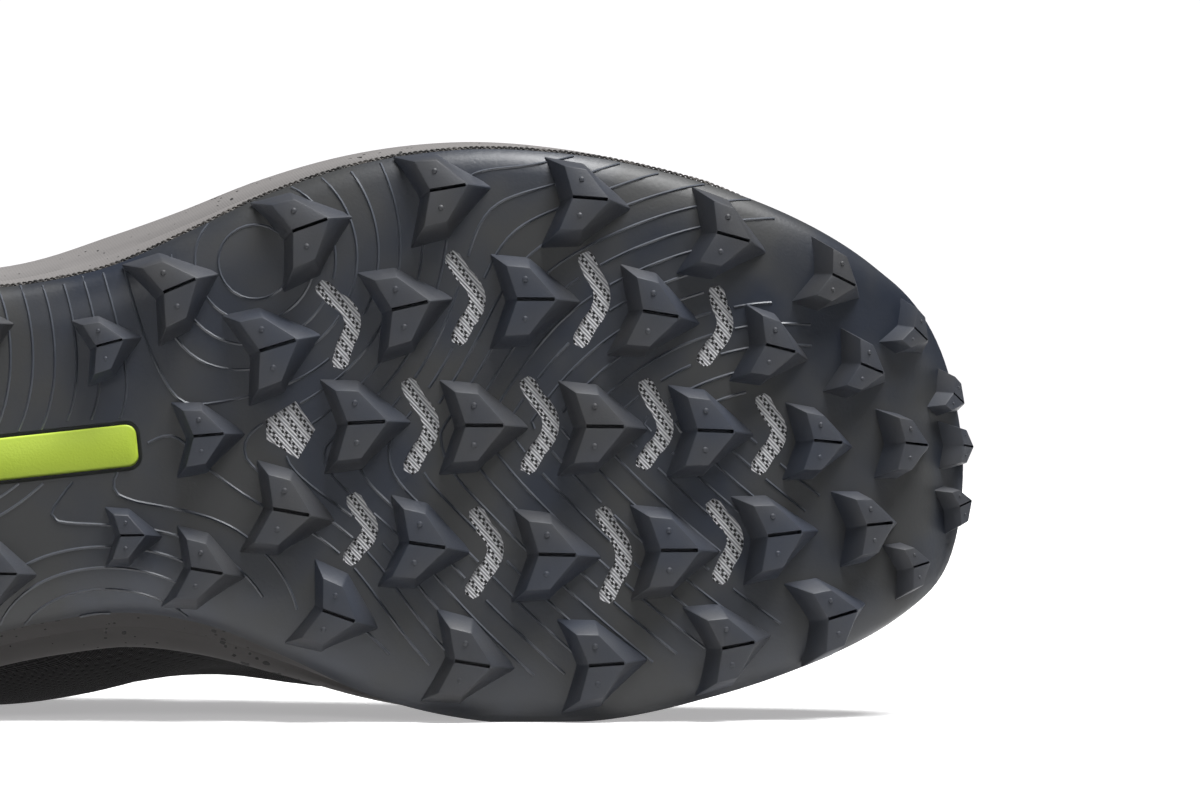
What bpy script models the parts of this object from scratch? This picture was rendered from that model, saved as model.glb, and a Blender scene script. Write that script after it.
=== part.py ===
"""Trail running shoe for the right foot, lying on its medial side.

The shoe is drawn standing on its lugs, in metres: X runs from heel to toe, Y towards
the medial side and Z up from the ground.  At the end it is turned onto its medial
side, where the edge of the sole and the side of the upper meet the floor.
"""
import math

import bmesh
import bpy
import numpy as np
from mathutils import Matrix, Vector
from mathutils.bvhtree import BVHTree

MM = 0.001
UP = np.array([0.0, 0.0, 1.0])

# Driving sizes of the sole
LENGTH = 300 * MM
BALL_WIDTH = 114.5 * MM
HEEL_WIDTH = 86 * MM
HEEL_STACK = 30 * MM
TOE_SPRING = 33 * MM
HEEL_BEVEL = 8 * MM
CUP_RISE = 10 * MM
EDGE_ROLL = 3 * MM
RUBBER = 2.5 * MM
SIDE_STEP = 1.0 * MM
RIM_SLOPE = 1.2 * MM

# Driving sizes of the upper
COLLAR_HEIGHT = 99 * MM
LAST_HEIGHT = 60 * MM
WALL = 2.4 * MM
COLLAR_PAD = 5 * MM
OVERLAY = 1.2 * MM
INSOLE = 4 * MM
TONGUE = 5 * MM
TONGUE_EDGE = 2 * MM
TONGUE_RISE = 26 * MM
TONGUE_CROWN = 0.09

# Driving sizes of the small parts
LUG_HEIGHT = 5 * MM
LUG_LENGTH = 16.8 * MM
LUG_WIDTH = 18.7 * MM
LUG_ROOT = 1.7 * MM
PLATE = 1.0 * MM
WINDOW_WIDTH = 2.7 * MM
BADGE_LENGTH = 56 * MM
BADGE_WIDTH = 8.2 * MM
BADGE_CORNER = 2 * MM
CORNER_STEPS = 3
BADGE_PROUD = 0.7 * MM
BADGE_SEAT = 1.0 * MM
BADGE_CLEARANCE = 0.8 * MM
LACE_WIDTH = 6 * MM
LACE_THICK = 1.8 * MM

# Clearances
GAP = 0.3 * MM
PLATE_CLEARANCE = 0.5 * MM
LACE_CLEARANCE = 0.7 * MM
FLOOR_FLAT = 0.25 * MM
MERGE = 0.01 * MM

# Nodes along and across the sole, and up the upper
ROWS = 22
COLS = 7
HEEL_ARC = 0.50
TOE_ARC = 0.42
UPPER_LEVELS = (0.0, 0.09, 0.20, 0.34, 0.49, 0.64, 0.78, 0.90, 1.0)
SHARP_ANGLE = math.radians(40)

# Where the rubber's edge starts to roll, from the middle of the sole to its edge
ROLL_START = 0.6

# Collar padding: share of the wall where it starts, share of LENGTH where it ends, fade
PAD_FOOT = 0.5
PAD_END = 0.40
PAD_FADE = 0.10

# Insole: upright share of its side, and set-in of its top edge as a share of INSOLE
INSOLE_SIDE = 0.7
INSOLE_BEVEL = 0.4

# Share of the wall that the midsole's cup is cut for
CUP_LEVEL = 0.6

# Plan of the sole: at is a share of LENGTH, the rest are shares of the width named
# at, width, tread lateral, tread medial, flare lateral, flare medial, feather inset
PLAN = (
    (0.000, HEEL_WIDTH, 0.000, 0.000, 0.010, 0.010, 0.055),
    (0.020, HEEL_WIDTH, 0.233, 0.233, 0.012, 0.000, 0.055),
    (0.080, HEEL_WIDTH, 0.424, 0.424, 0.016, -0.016, 0.055),
    (0.150, HEEL_WIDTH, 0.494, 0.494, 0.022, -0.026, 0.055),
    (0.220, HEEL_WIDTH, 0.486, 0.462, 0.040, 0.018, 0.052),
    (0.300, BALL_WIDTH, 0.350, 0.288, 0.045, 0.075, 0.040),
    (0.400, BALL_WIDTH, 0.351, 0.230, 0.060, 0.120, 0.036),
    (0.450, BALL_WIDTH, 0.374, 0.221, 0.072, 0.126, 0.036),
    (0.500, BALL_WIDTH, 0.425, 0.247, 0.060, 0.092, 0.040),
    (0.550, BALL_WIDTH, 0.481, 0.306, 0.047, 0.045, 0.046),
    (0.600, BALL_WIDTH, 0.526, 0.375, 0.033, 0.006, 0.050),
    (0.680, BALL_WIDTH, 0.554, 0.436, 0.018, -0.018, 0.052),
    (0.750, BALL_WIDTH, 0.535, 0.444, 0.010, -0.022, 0.052),
    (0.830, BALL_WIDTH, 0.475, 0.410, 0.004, -0.018, 0.052),
    (0.900, BALL_WIDTH, 0.392, 0.352, 0.000, -0.012, 0.052),
    (0.950, BALL_WIDTH, 0.300, 0.282, 0.000, -0.006, 0.052),
    (0.985, BALL_WIDTH, 0.187, 0.188, 0.000, 0.000, 0.050),
    (1.000, BALL_WIDTH, 0.000, 0.000, 0.000, 0.000, 0.050),
)

# Heights along the sole, as shares of TOE_SPRING, HEEL_BEVEL, HEEL_STACK and CUP_RISE
# at, spring, bevel, footbed, rim lateral, rim medial
HEIGHTS = (
    (0.000, 0.000, 1.00, 1.030, 1.25, 1.25),
    (0.020, 0.000, 0.72, 1.030, 1.25, 1.25),
    (0.080, 0.000, 0.20, 1.010, 1.10, 1.15),
    (0.150, 0.000, 0.00, 1.000, 0.90, 1.05),
    (0.300, 0.000, 0.00, 0.965, 0.80, 1.20),
    (0.450, 0.000, 0.00, 0.900, 0.80, 1.20),
    (0.600, 0.000, 0.00, 0.810, 0.70, 0.80),
    (0.680, 0.000, 0.00, 0.775, 0.65, 0.60),
    (0.760, 0.024, 0.00, 0.775, 0.60, 0.60),
    (0.823, 0.100, 0.00, 0.820, 0.60, 0.60),
    (0.887, 0.240, 0.00, 0.920, 0.65, 0.65),
    (0.940, 0.455, 0.00, 1.040, 0.80, 0.80),
    (0.967, 0.620, 0.00, 1.120, 0.95, 0.95),
    (0.987, 0.850, 0.00, 1.180, 1.05, 1.05),
    (1.000, 1.000, 0.00, 1.220, 1.10, 1.10),
)

# Side of the midsole from the rubber's edge to the rim
# share of the height, share of the flare, share of SIDE_STEP, share of RIM_SLOPE
SIDE = (
    (0.00, 0.00, 0.0, 0.0),
    (0.30, 0.52, 0.0, 0.0),
    (0.36, 0.62, 1.0, 0.0),
    (0.72, 1.00, 1.0, 0.0),
    (1.00, 0.92, 1.0, -1.0),
)

# Collar and throat edge, as shares of LENGTH, BALL_WIDTH twice and COLLAR_HEIGHT, and
# the reach of each wall's curve at feather and edge, as shares of LAST_HEIGHT
# at, x, y lateral, y medial, z, out low, up low, out high, down high
EDGE = (
    (0.00, 0.038, 0.000, 0.000, 1.000, 0.13, 0.38, -0.07, 0.34),
    (0.03, 0.050, 0.130, 0.130, 0.988, 0.13, 0.38, -0.05, 0.33),
    (0.08, 0.084, 0.235, 0.235, 0.940, 0.08, 0.36, -0.02, 0.30),
    (0.15, 0.135, 0.300, 0.300, 0.865, 0.05, 0.34, 0.00, 0.28),
    (0.24, 0.210, 0.315, 0.320, 0.825, 0.05, 0.34, 0.01, 0.28),
    (0.33, 0.285, 0.288, 0.305, 0.885, 0.06, 0.34, 0.06, 0.27),
    (0.42, 0.355, 0.232, 0.222, 1.060, 0.05, 0.36, 0.20, 0.24),
    (0.50, 0.425, 0.200, 0.185, 1.035, 0.05, 0.36, 0.34, 0.20),
    (0.58, 0.495, 0.185, 0.168, 0.960, 0.05, 0.34, 0.40, 0.17),
    (0.66, 0.565, 0.172, 0.152, 0.880, 0.06, 0.32, 0.44, 0.14),
    (0.74, 0.630, 0.150, 0.128, 0.800, 0.07, 0.30, 0.46, 0.10),
    (0.83, 0.680, 0.115, 0.090, 0.745, 0.09, 0.32, 0.48, 0.05),
    (0.92, 0.702, 0.062, 0.040, 0.725, 0.10, 0.38, 0.54, 0.00),
    (1.00, 0.707, 0.012, -0.012, 0.720, 0.10, 0.42, 0.60, -0.02),
)

# Lug outline, as shares of LUG_LENGTH and half of LUG_WIDTH
# base along, base across, top along, top across
LUG = (
    (0.589, 0.00, 0.321, 0.00),
    (0.040, 0.93, 0.040, 0.74),
    (-0.411, 1.00, -0.238, 0.78),
    (-0.226, 0.00, -0.110, 0.00),
    (-0.411, -1.00, -0.238, -0.78),
    (0.040, -0.93, 0.040, -0.74),
)

# Places of the lugs: share of LENGTH, share of BALL_WIDTH towards the lateral side,
# turn in degrees towards the lateral side, size
LUGS = (
    # Lateral edge
    (0.360, 0.262, 14, 0.76), (0.487, 0.321, 20, 0.92), (0.574, 0.421, 17, 0.98),
    (0.664, 0.473, 7, 0.97), (0.758, 0.454, -6, 0.94), (0.851, 0.380, -15, 0.92),
    (0.922, 0.299, -22, 0.74), (0.974, 0.197, -28, 0.58), (0.987, 0.085, -22, 0.50),
    # Lateral inner row
    (0.440, 0.225, 12, 0.72), (0.547, 0.213, 14, 1.00), (0.635, 0.279, 10, 0.98),
    (0.718, 0.285, -3, 1.00), (0.801, 0.255, -11, 0.97), (0.881, 0.194, -14, 0.84),
    (0.940, 0.141, -18, 0.72),
    # Centre row
    (0.503, 0.073, 2, 0.80), (0.604, 0.080, 0, 1.00), (0.684, 0.070, -3, 1.00),
    (0.761, 0.063, -3, 1.00), (0.837, 0.043, -4, 0.98), (0.909, 0.021, -5, 0.82),
    (0.967, 0.006, -4, 0.74),
    # Medial inner row
    (0.553, -0.058, -13, 0.98), (0.640, -0.127, -11, 0.97), (0.725, -0.156, -4, 0.98),
    (0.810, -0.155, -2, 1.00), (0.877, -0.141, 5, 0.94), (0.940, -0.127, 4, 0.80),
    (0.973, -0.209, 11, 0.58), (0.988, -0.096, 14, 0.50),
    # Medial edge
    (0.369, -0.147, -4, 0.72), (0.449, -0.093, -2, 0.64), (0.498, -0.153, -12, 0.84),
    (0.582, -0.238, -22, 0.90), (0.667, -0.334, -12, 0.94), (0.757, -0.349, 1, 0.94),
    (0.844, -0.327, 7, 0.90), (0.914, -0.281, 11, 0.86),
    # Heel, braking backwards
    (0.045, 0.095, 172, 0.80), (0.045, -0.095, 188, 0.80), (0.115, 0.000, 180, 0.92),
    (0.110, 0.240, 160, 0.88), (0.110, -0.240, 200, 0.88), (0.180, 0.110, 180, 0.90),
    (0.180, -0.110, 180, 0.90), (0.185, 0.285, 176, 0.84), (0.185, -0.275, 184, 0.84),
    (0.250, 0.000, 180, 0.90), (0.255, 0.200, 178, 0.86), (0.255, -0.185, 182, 0.80),
)

# Windows in the rubber over the woven plate, as shares of LENGTH and BALL_WIDTH
# upper end, bend, lower end: along and across for each
WINDOWS = (
    (0.588, 0.315, 0.607, 0.262, 0.597, 0.186), (0.673, 0.355, 0.689, 0.285, 0.675, 0.217),
    (0.760, 0.344, 0.770, 0.274, 0.754, 0.204), (0.844, 0.278, 0.849, 0.217, 0.834, 0.164),
    (0.641, 0.141, 0.655, 0.070, 0.640, 0.001), (0.718, 0.134, 0.733, 0.063, 0.716, -0.008),
    (0.795, 0.122, 0.807, 0.047, 0.791, -0.010), (0.871, 0.090, 0.881, 0.034, 0.866, -0.024),
    (0.602, -0.050, 0.612, -0.103, 0.598, -0.149), (0.681, -0.084, 0.693, -0.148, 0.676, -0.215),
    (0.763, -0.093, 0.776, -0.165, 0.763, -0.234), (0.835, -0.088, 0.849, -0.144, 0.837, -0.210),
)

# Shield window at the back of the centre row, in the same shares
SHIELD = ((0.547, 0.094), (0.567, 0.123), (0.579, 0.073), (0.567, 0.024), (0.547, 0.060))

# Badge in the shank
BADGE_FRONT = 0.463
BADGE_SIDE = 0.062
BADGE_TURN = math.radians(3.4)

# Levels of the wall that the tongue's sides follow
TONGUE_LEVELS = (0.80, 0.90, 1.0)

# Top of the tongue past the last eyelets: share of TONGUE_RISE, share of the width
TONGUE_TOP = ((1.0, 0.70), (0.5, 0.80))

# Rough centre of mass, and how many faces of its hull the shoe may roll over
CENTRE = Vector((LENGTH / 2, 0, HEEL_STACK))
ROLLS = 6

# Reach of the plate along the sole
PLATE_BACK = 0.53
PLATE_FRONT = 0.92

# Overlays: reach along the shoe as a share of LENGTH, then shares of the wall's height:
# width at the ends and what the middle has more
GUARD_BACK = 0.62
GUARD_WIDTH = 0.06
GUARD_RISE = 0.16
COUNTER_FRONT = 0.17
COUNTER_WIDTH = 0.07
COUNTER_RISE = 0.30

# Eyestay: reach as shares of LENGTH, lower and upper edge and eyelets on the wall
STAY_BACK = 0.42
STAY_FOOT = 0.74
STAY_END = 0.965
EYELET_LEVEL = 0.88
EYELETS = (0.43, 0.53, 0.62, 0.70, 0.78, 0.85)


def angle(at):
    """Angle round the plan of a share of the length: 0 at the heel, pi at the toe."""
    return np.arccos(1 - 2 * np.asarray(at, float))


def smooth(xs, ys, x):
    """Cubic curve through the rows, read at x."""
    xs = np.asarray(xs, float)
    ys = np.asarray(ys, float)
    slope = np.gradient(ys, xs)
    k = np.clip(np.searchsorted(xs, x) - 1, 0, len(xs) - 2)
    h = xs[k + 1] - xs[k]
    t = (x - xs[k]) / h
    start = (1 + 2 * t) * (1 - t) ** 2 * ys[k] + t * (1 - t) ** 2 * h * slope[k]
    end = t * t * (3 - 2 * t) * ys[k + 1] + t * t * (t - 1) * h * slope[k + 1]
    return start + end


def around(at, lateral, medial, turn):
    """Value at a turn round the plan, from rows for the two sides of the shoe."""
    rows = angle(at)
    turns = np.concatenate([rows, 2 * np.pi - rows[-2:0:-1]])
    values = np.concatenate([lateral, np.asarray(medial)[-2:0:-1]])
    circle = 2 * np.pi
    xs = np.concatenate([turns - circle, turns, turns + circle])
    return smooth(xs, np.tile(values, 3), np.mod(turn, circle))


def columns(table):
    """A table of rows as columns of numbers."""
    return [np.array(column, float) for column in zip(*table)]


def loop_cells():
    """Cells of the node grid that lie on the loop round the sole, in its order."""
    lateral = [(i, 0) for i in range(ROWS)]
    toe = [(ROWS - 1, j) for j in range(1, COLS)]
    medial = [(i, COLS - 1) for i in range(ROWS - 2, -1, -1)]
    heel = [(0, j) for j in range(COLS - 2, 0, -1)]
    return lateral + toe + medial + heel


def loop_turns():
    """Turn round the plan of each node of the loop."""
    lateral = np.linspace(HEEL_ARC, np.pi - TOE_ARC, ROWS)
    toe = np.linspace(np.pi - TOE_ARC, np.pi + TOE_ARC, COLS)
    heel = np.linspace(2 * np.pi - HEEL_ARC, 2 * np.pi + HEEL_ARC, COLS)
    return np.concatenate([lateral, toe[1:], 2 * np.pi - lateral[-2::-1], heel[1:-1]])


CELLS = loop_cells()
TURNS = loop_turns()
SHARES = (1 - np.cos(TURNS)) / 2
TOE_NODE = ROWS - 1 + COLS // 2


def tread_loop():
    """Edge of the rubber in plan."""
    at, width, lateral, medial = columns(PLAN)[:4]
    y = around(at, -lateral * width, medial * width, TURNS)
    return np.stack([SHARES * LENGTH, y], axis=1)


def plan_normals(loop):
    """Directions that point away from the shoe in plan."""
    step = np.roll(loop, -1, axis=0) - np.roll(loop, 1, axis=0)
    normal = np.stack([step[:, 1], -step[:, 0]], axis=1)
    return normal / np.linalg.norm(normal, axis=1, keepdims=True)


TREAD = tread_loop()
OUTWARD = plan_normals(TREAD)


def loop_value(table, lateral, medial, scale):
    """Column of a table read at each node of the loop."""
    data = columns(table)
    return around(data[0], data[lateral] * scale, data[medial] * scale, TURNS)


def patch(ring):
    """Grid of nodes that fills a closed ring, level across the shoe."""
    grid = np.zeros((ROWS, COLS, ring.shape[1]))
    for cell, point in zip(CELLS, ring):
        grid[cell] = point
    along = np.linspace(0, 1, ROWS)[:, None, None]
    across = np.linspace(0, 1, COLS)[None, :, None]
    ends = (1 - along) * grid[:1] + along * grid[-1:]
    sides = (1 - across) * grid[:, :1] + across * grid[:, -1:]
    back = (1 - across) * grid[0, 0] + across * grid[0, -1]
    front = (1 - across) * grid[-1, 0] + across * grid[-1, -1]
    filled = ends + sides - (1 - along) * back - along * front
    filled[1:-1, :, 2:] = sides[1:-1, :, 2:]
    return filled


def grid_normals(grid, closed=False):
    """Unit normals of a grid of nodes; closed means that its first axis is a ring."""
    if closed:
        first = np.roll(grid, -1, axis=0) - np.roll(grid, 1, axis=0)
    else:
        first = np.gradient(grid, axis=0)
    normal = np.cross(first, np.gradient(grid, axis=1))
    return normal / np.linalg.norm(normal, axis=2, keepdims=True)


def tread_grid():
    """Outer face of the rubber sheet: spring, heel bevel and rolled edges."""
    plan = patch(TREAD)
    at, spring, bevel = columns(HEIGHTS)[:3]
    turn = angle(np.clip(plan[:, :, 0] / LENGTH, 0, 1))
    rise = smooth(angle(at), spring * TOE_SPRING + bevel * HEEL_BEVEL, turn)
    edge = np.abs(np.linspace(-1, 1, COLS))[None, :]
    roll = EDGE_ROLL * np.clip((edge - ROLL_START) / (1 - ROLL_START), 0, 1) ** 2
    z = LUG_HEIGHT + rise + roll
    return np.dstack([plan, z])


SHEET = tread_grid()
SHEET_NORMALS = grid_normals(SHEET)


def sheet(lift):
    """Face at a distance above the outer face of the rubber."""
    return SHEET + SHEET_NORMALS * lift


def on_loop(grid):
    """Nodes of a grid that lie on the loop."""
    return np.array([grid[cell] for cell in CELLS])


def ring_at(out, z):
    """Ring of nodes at a distance outside the edge of the rubber."""
    plan = TREAD + OUTWARD * np.reshape(out, (-1, 1))
    return np.column_stack([plan, z])


FLARE = loop_value(PLAN, 4, 5, columns(PLAN)[1])
INSET = loop_value(PLAN, 6, 6, columns(PLAN)[1])
FOOTBED = loop_value(HEIGHTS, 3, 3, HEEL_STACK)
RIM = FOOTBED + loop_value(HEIGHTS, 4, 5, CUP_RISE)


def upper_wall():
    """Outer face of the upper: a curve up the wall from every node of the loop."""
    feather = ring_at(FLARE - INSET, FOOTBED + GAP)
    x = loop_value(EDGE, 1, 1, LENGTH)
    at, _, lateral, medial = columns(EDGE)[:4]
    y = around(at, -lateral * BALL_WIDTH, medial * BALL_WIDTH, TURNS)
    edge = np.column_stack([x, y, loop_value(EDGE, 4, 4, COLLAR_HEIGHT)])
    out = np.column_stack([OUTWARD, np.zeros(len(TURNS))])
    reach = [loop_value(EDGE, k, k, LAST_HEIGHT)[:, None] for k in (5, 6, 7, 8)]
    low = feather + out * reach[0] + UP * reach[1]
    high = edge + out * reach[2] - UP * reach[3]
    levels = []
    for t in UPPER_LEVELS:
        start = (1 - t) ** 3 * feather + 3 * t * (1 - t) ** 2 * low
        levels.append(start + 3 * t * t * (1 - t) * high + t ** 3 * edge)
    return np.stack(levels, axis=1)


UPPER = upper_wall()
UPPER_NORMALS = grid_normals(UPPER, closed=True)


def wall(depth, level=None):
    """Upper's face moved out by a depth, at every level or at one share of the wall."""
    face = UPPER + UPPER_NORMALS * depth
    if level is None:
        return face
    k = np.interp(level, UPPER_LEVELS, range(len(UPPER_LEVELS)))
    low = int(min(np.floor(k), len(UPPER_LEVELS) - 2))
    return face[:, low] * (low + 1 - k) + face[:, low + 1] * (k - low)


def wall_depths():
    """Thickness of the upper: thin at the foot, padded round the collar."""
    level = np.array(UPPER_LEVELS)[None, :]
    pad = np.sin(np.pi * np.clip((level - PAD_FOOT) / (1 - PAD_FOOT), 0, 1))
    collar = np.clip((PAD_END - SHARES) / PAD_FADE, 0, 1)[:, None]
    return WALL + COLLAR_PAD * pad * collar


class Solid:
    """Nodes and faces of one closed solid."""

    def __init__(self):
        self.nodes = []
        self.faces = []

    def add(self, points):
        """Add an array of points and return the array of their numbers."""
        points = np.asarray(points)
        first = len(self.nodes)
        self.nodes.extend(map(tuple, points.reshape(-1, 3)))
        return np.arange(first, len(self.nodes)).reshape(points.shape[:-1])

    def quad(self, corners, flip=False):
        """Two triangles, which lie the same way on both sides of a wall."""
        a, b, c, d = corners
        for face in ((a, b, c), (a, c, d)):
            self.faces.append(face[::-1] if flip else face)

    def quads(self, numbers, flip=False):
        """Faces of a grid of numbers."""
        for i in range(numbers.shape[0] - 1):
            for j in range(numbers.shape[1] - 1):
                corners = numbers[i, j], numbers[i + 1, j], numbers[i + 1, j + 1], numbers[i, j + 1]
                self.quad(corners, flip)

    def band(self, low, high, flip=False):
        """Faces between two closed rings of numbers."""
        for k in range(len(low)):
            n = (k + 1) % len(low)
            self.quad((low[k], low[n], high[n], high[k]), flip)

    def lid(self, ring, grid, flip=False):
        """Close a ring with a grid whose border is the ring."""
        numbers = np.zeros((ROWS, COLS), int)
        inner = self.add(grid[1:-1, 1:-1])
        numbers[1:-1, 1:-1] = inner
        for cell, number in zip(CELLS, ring):
            numbers[cell] = number
        self.quads(numbers, flip)


def slab(low, high):
    """Solid between two grids of the same size."""
    solid = Solid()
    a = solid.add(low)
    b = solid.add(high)
    solid.quads(a, flip=True)
    solid.quads(b)
    border = [(i, 0) for i in range(a.shape[0])]
    border += [(a.shape[0] - 1, j) for j in range(1, a.shape[1])]
    border += [(i, a.shape[1] - 1) for i in range(a.shape[0] - 2, -1, -1)]
    border += [(0, j) for j in range(a.shape[1] - 2, 0, -1)]
    solid.band([a[cell] for cell in border], [b[cell] for cell in border])
    return solid


def stack(rings, floor, top):
    """Solid of rings that rise from a floor grid to a top grid."""
    solid = Solid()
    numbers = [solid.add(ring) for ring in rings]
    for low, high in zip(numbers, numbers[1:]):
        solid.band(low, high)
    solid.lid(numbers[0], floor, flip=True)
    solid.lid(numbers[-1], top)
    return solid


def clear_scene():
    """Remove every object that the scene holds."""
    for item in list(bpy.data.objects):
        bpy.data.objects.remove(item, do_unlink=True)


def collection(name, hidden=False):
    """New collection in the scene."""
    group = bpy.data.collections.new(name)
    bpy.context.scene.collection.children.link(group)
    group.hide_render = hidden
    return group


def material(name, colour, roughness):
    """Plain finish for one part."""
    finish = bpy.data.materials.new(name)
    finish.use_nodes = True
    shader = finish.node_tree.nodes["Principled BSDF"]
    shader.inputs["Base Color"].default_value = (*colour, 1)
    shader.inputs["Roughness"].default_value = roughness
    shader.inputs["Metallic"].default_value = 0
    return finish


def mesh_object(name, solid, group, finish=None):
    """Object made from a solid's nodes and faces."""
    mesh = bpy.data.meshes.new(name)
    mesh.from_pydata(solid.nodes, [], [tuple(map(int, face)) for face in solid.faces])
    mesh.shade_smooth()
    mesh.set_sharp_from_angle(angle=SHARP_ANGLE)
    item = bpy.data.objects.new(name, mesh)
    group.objects.link(item)
    if finish:
        mesh.materials.append(finish)
    else:
        item.hide_render = True
        item.display_type = "WIRE"
    return item


def boolean(item, tool, operation):
    """Boolean with another object."""
    modifier = item.modifiers.new(tool.name, "BOOLEAN")
    modifier.operation = operation
    modifier.solver = "EXACT"
    modifier.object = tool


def sheet_probe():
    """Search tree of the rubber's outer face."""
    solid = Solid()
    solid.quads(solid.add(SHEET))
    return BVHTree.FromPolygons(solid.nodes, solid.faces)


def lugs(probe):
    """All lugs as separate bodies, each square to the rubber where it stands."""
    solid = Solid()
    for along, across, turn, size in LUGS:
        start = Vector((along * LENGTH, -across * BALL_WIDTH, -LENGTH))
        spot, normal, _, _ = probe.ray_cast(start, Vector((0, 0, 1)))
        down = -normal if normal.z > 0 else normal
        heading = Vector((math.cos(math.radians(turn)), -math.sin(math.radians(turn)), 0))
        forward = (heading - down * heading.dot(down)).normalized()
        side = down.cross(forward)
        half = LUG_WIDTH / 2 * size
        base = [forward * (row[0] * LUG_LENGTH * size) + side * (row[1] * half) for row in LUG]
        top = [forward * (row[2] * LUG_LENGTH * size) + side * (row[3] * half) for row in LUG]
        slope = [(low - high) / LUG_HEIGHT - down for low, high in zip(base, top)]
        root = [spot + point + lean * LUG_ROOT for point, lean in zip(base, slope)]
        tip = [spot + point + down * LUG_HEIGHT for point in top]
        rings = [solid.add([tuple(point) for point in ring]) for ring in (root, tip)]
        solid.band(*rings)
        solid.faces.append(tuple(rings[0][::-1]))
        solid.faces.append(tuple(rings[1]))
    return solid


def prism(outline, low, high):
    """Upright solid over a closed outline, given in the order that faces up."""
    solid = Solid()
    a = solid.add([(x, y, low) for x, y in outline])
    b = solid.add([(x, y, high) for x, y in outline])
    solid.band(a, b)
    solid.faces.append(tuple(a[::-1]))
    solid.faces.append(tuple(b))
    return solid


def window_outline(row):
    """Bent slot round the three points of a window's row."""
    points = [Vector((row[k] * LENGTH, -row[k + 1] * BALL_WIDTH)) for k in (0, 2, 4)]
    half = Vector((WINDOW_WIDTH / 2, 0))
    front = [point + half for point in points]
    back = [point - half for point in reversed(points)]
    return [tuple(point) for point in front + back]


def windows():
    """Prisms that cut the windows."""
    high = LUG_HEIGHT + RUBBER + TOE_SPRING
    solid = Solid()
    outlines = [window_outline(row) for row in WINDOWS]
    outlines.append([(x * LENGTH, -y * BALL_WIDTH) for x, y in SHIELD])
    for outline in outlines:
        piece = prism(outline, 0, high)
        first = len(solid.nodes)
        solid.nodes.extend(piece.nodes)
        solid.faces.extend(tuple(n + first for n in face) for face in piece.faces)
    return solid


def badge_outline(clearance):
    """Bar with round corners, turned as the badge lies in the shank."""
    front = Vector((BADGE_FRONT * LENGTH, -BADGE_SIDE * BALL_WIDTH))
    ahead = Vector((math.cos(BADGE_TURN), -math.sin(BADGE_TURN)))
    side = Vector((-ahead.y, ahead.x))
    half = BADGE_WIDTH / 2 + clearance
    corner = BADGE_CORNER + clearance
    centres = ((clearance - corner, half - corner), (-BADGE_LENGTH - clearance + corner, half - corner),
               (-BADGE_LENGTH - clearance + corner, corner - half), (clearance - corner, corner - half))
    outline = []
    for quarter, (along, across) in enumerate(centres):
        for step in range(CORNER_STEPS + 1):
            bend = (quarter + step / CORNER_STEPS) * math.pi / 2
            spot = front + ahead * (along + corner * math.cos(bend))
            outline.append(tuple(spot + side * (across + corner * math.sin(bend))))
    return outline


def plate_grid(lift, clearance):
    """Part of the sheet that the woven plate covers, widened by a clearance."""
    block = slice(first_node(PLATE_BACK), first_node(PLATE_FRONT) + 1), slice(1, COLS - 1)
    grid = sheet(lift)[block]
    grid[0, :, 0] -= clearance
    grid[-1, :, 0] += clearance
    grid[:, 0, 1] -= clearance
    grid[:, -1, 1] += clearance
    return grid


def outsole(group, cutters):
    """Rubber sheet with its lugs, windows and the badge's pocket."""
    item = mesh_object("outsole", slab(sheet(0), sheet(RUBBER)), group,
                       material("rubber", (0.030, 0.035, 0.042), 0.45))
    boolean(item, mesh_object("window_cutters", windows(), cutters), "DIFFERENCE")
    floor = LUG_HEIGHT + BADGE_SEAT + GAP
    pocket = prism(badge_outline(BADGE_CLEARANCE), 0, floor)
    boolean(item, mesh_object("badge_pocket", pocket, cutters), "DIFFERENCE")
    boolean(item, mesh_object("lug_blocks", lugs(sheet_probe()), cutters), "UNION")
    return item


def badge(group):
    """Plain raised bar in the shank."""
    solid = prism(badge_outline(0), LUG_HEIGHT - BADGE_PROUD, LUG_HEIGHT + BADGE_SEAT)
    return mesh_object("shank_badge", solid, group, material("badge", (0.45, 0.56, 0.05), 0.35))


def plate(group):
    """Woven plate between rubber and foam."""
    low = plate_grid(RUBBER + GAP, 0)
    high = plate_grid(RUBBER + GAP + PLATE, 0)
    return mesh_object("forefoot_plate", slab(low, high), group,
                       material("woven_plate", (0.50, 0.51, 0.53), 0.5))


def last_block(cutters):
    """Room for the upper in the midsole's cup, up to above the rim."""
    faces = wall(GAP)
    rings = [faces[:, k] for k, level in enumerate(UPPER_LEVELS) if level < CUP_LEVEL]
    rings[0] = rings[0] - UP * 2 * GAP
    solid = stack(rings, patch(rings[0]), patch(rings[-1]))
    return mesh_object("last_block", solid, cutters)


def midsole(group, cutters):
    """Foam cup with a stepped side, hollowed for the upper and the plate."""
    under = sheet(RUBBER + GAP)
    edge = on_loop(SHEET)[:, 2] + RUBBER + 2 * GAP
    rings = [on_loop(under)]
    for height, flare, step, slope in SIDE:
        out = FLARE * flare + SIDE_STEP * step + RIM_SLOPE * slope
        rings.append(ring_at(out - SIDE_STEP, edge + (RIM - edge) * height))
    item = mesh_object("midsole", stack(rings, under, patch(rings[-1])), group,
                       material("foam", (0.33, 0.32, 0.33), 0.8))
    boolean(item, last_block(cutters), "DIFFERENCE")
    low = plate_grid(RUBBER, PLATE_CLEARANCE)
    high = plate_grid(RUBBER + 2 * GAP + PLATE, PLATE_CLEARANCE)
    boolean(item, mesh_object("plate_pocket", slab(low, high), cutters), "DIFFERENCE")
    return item


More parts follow.
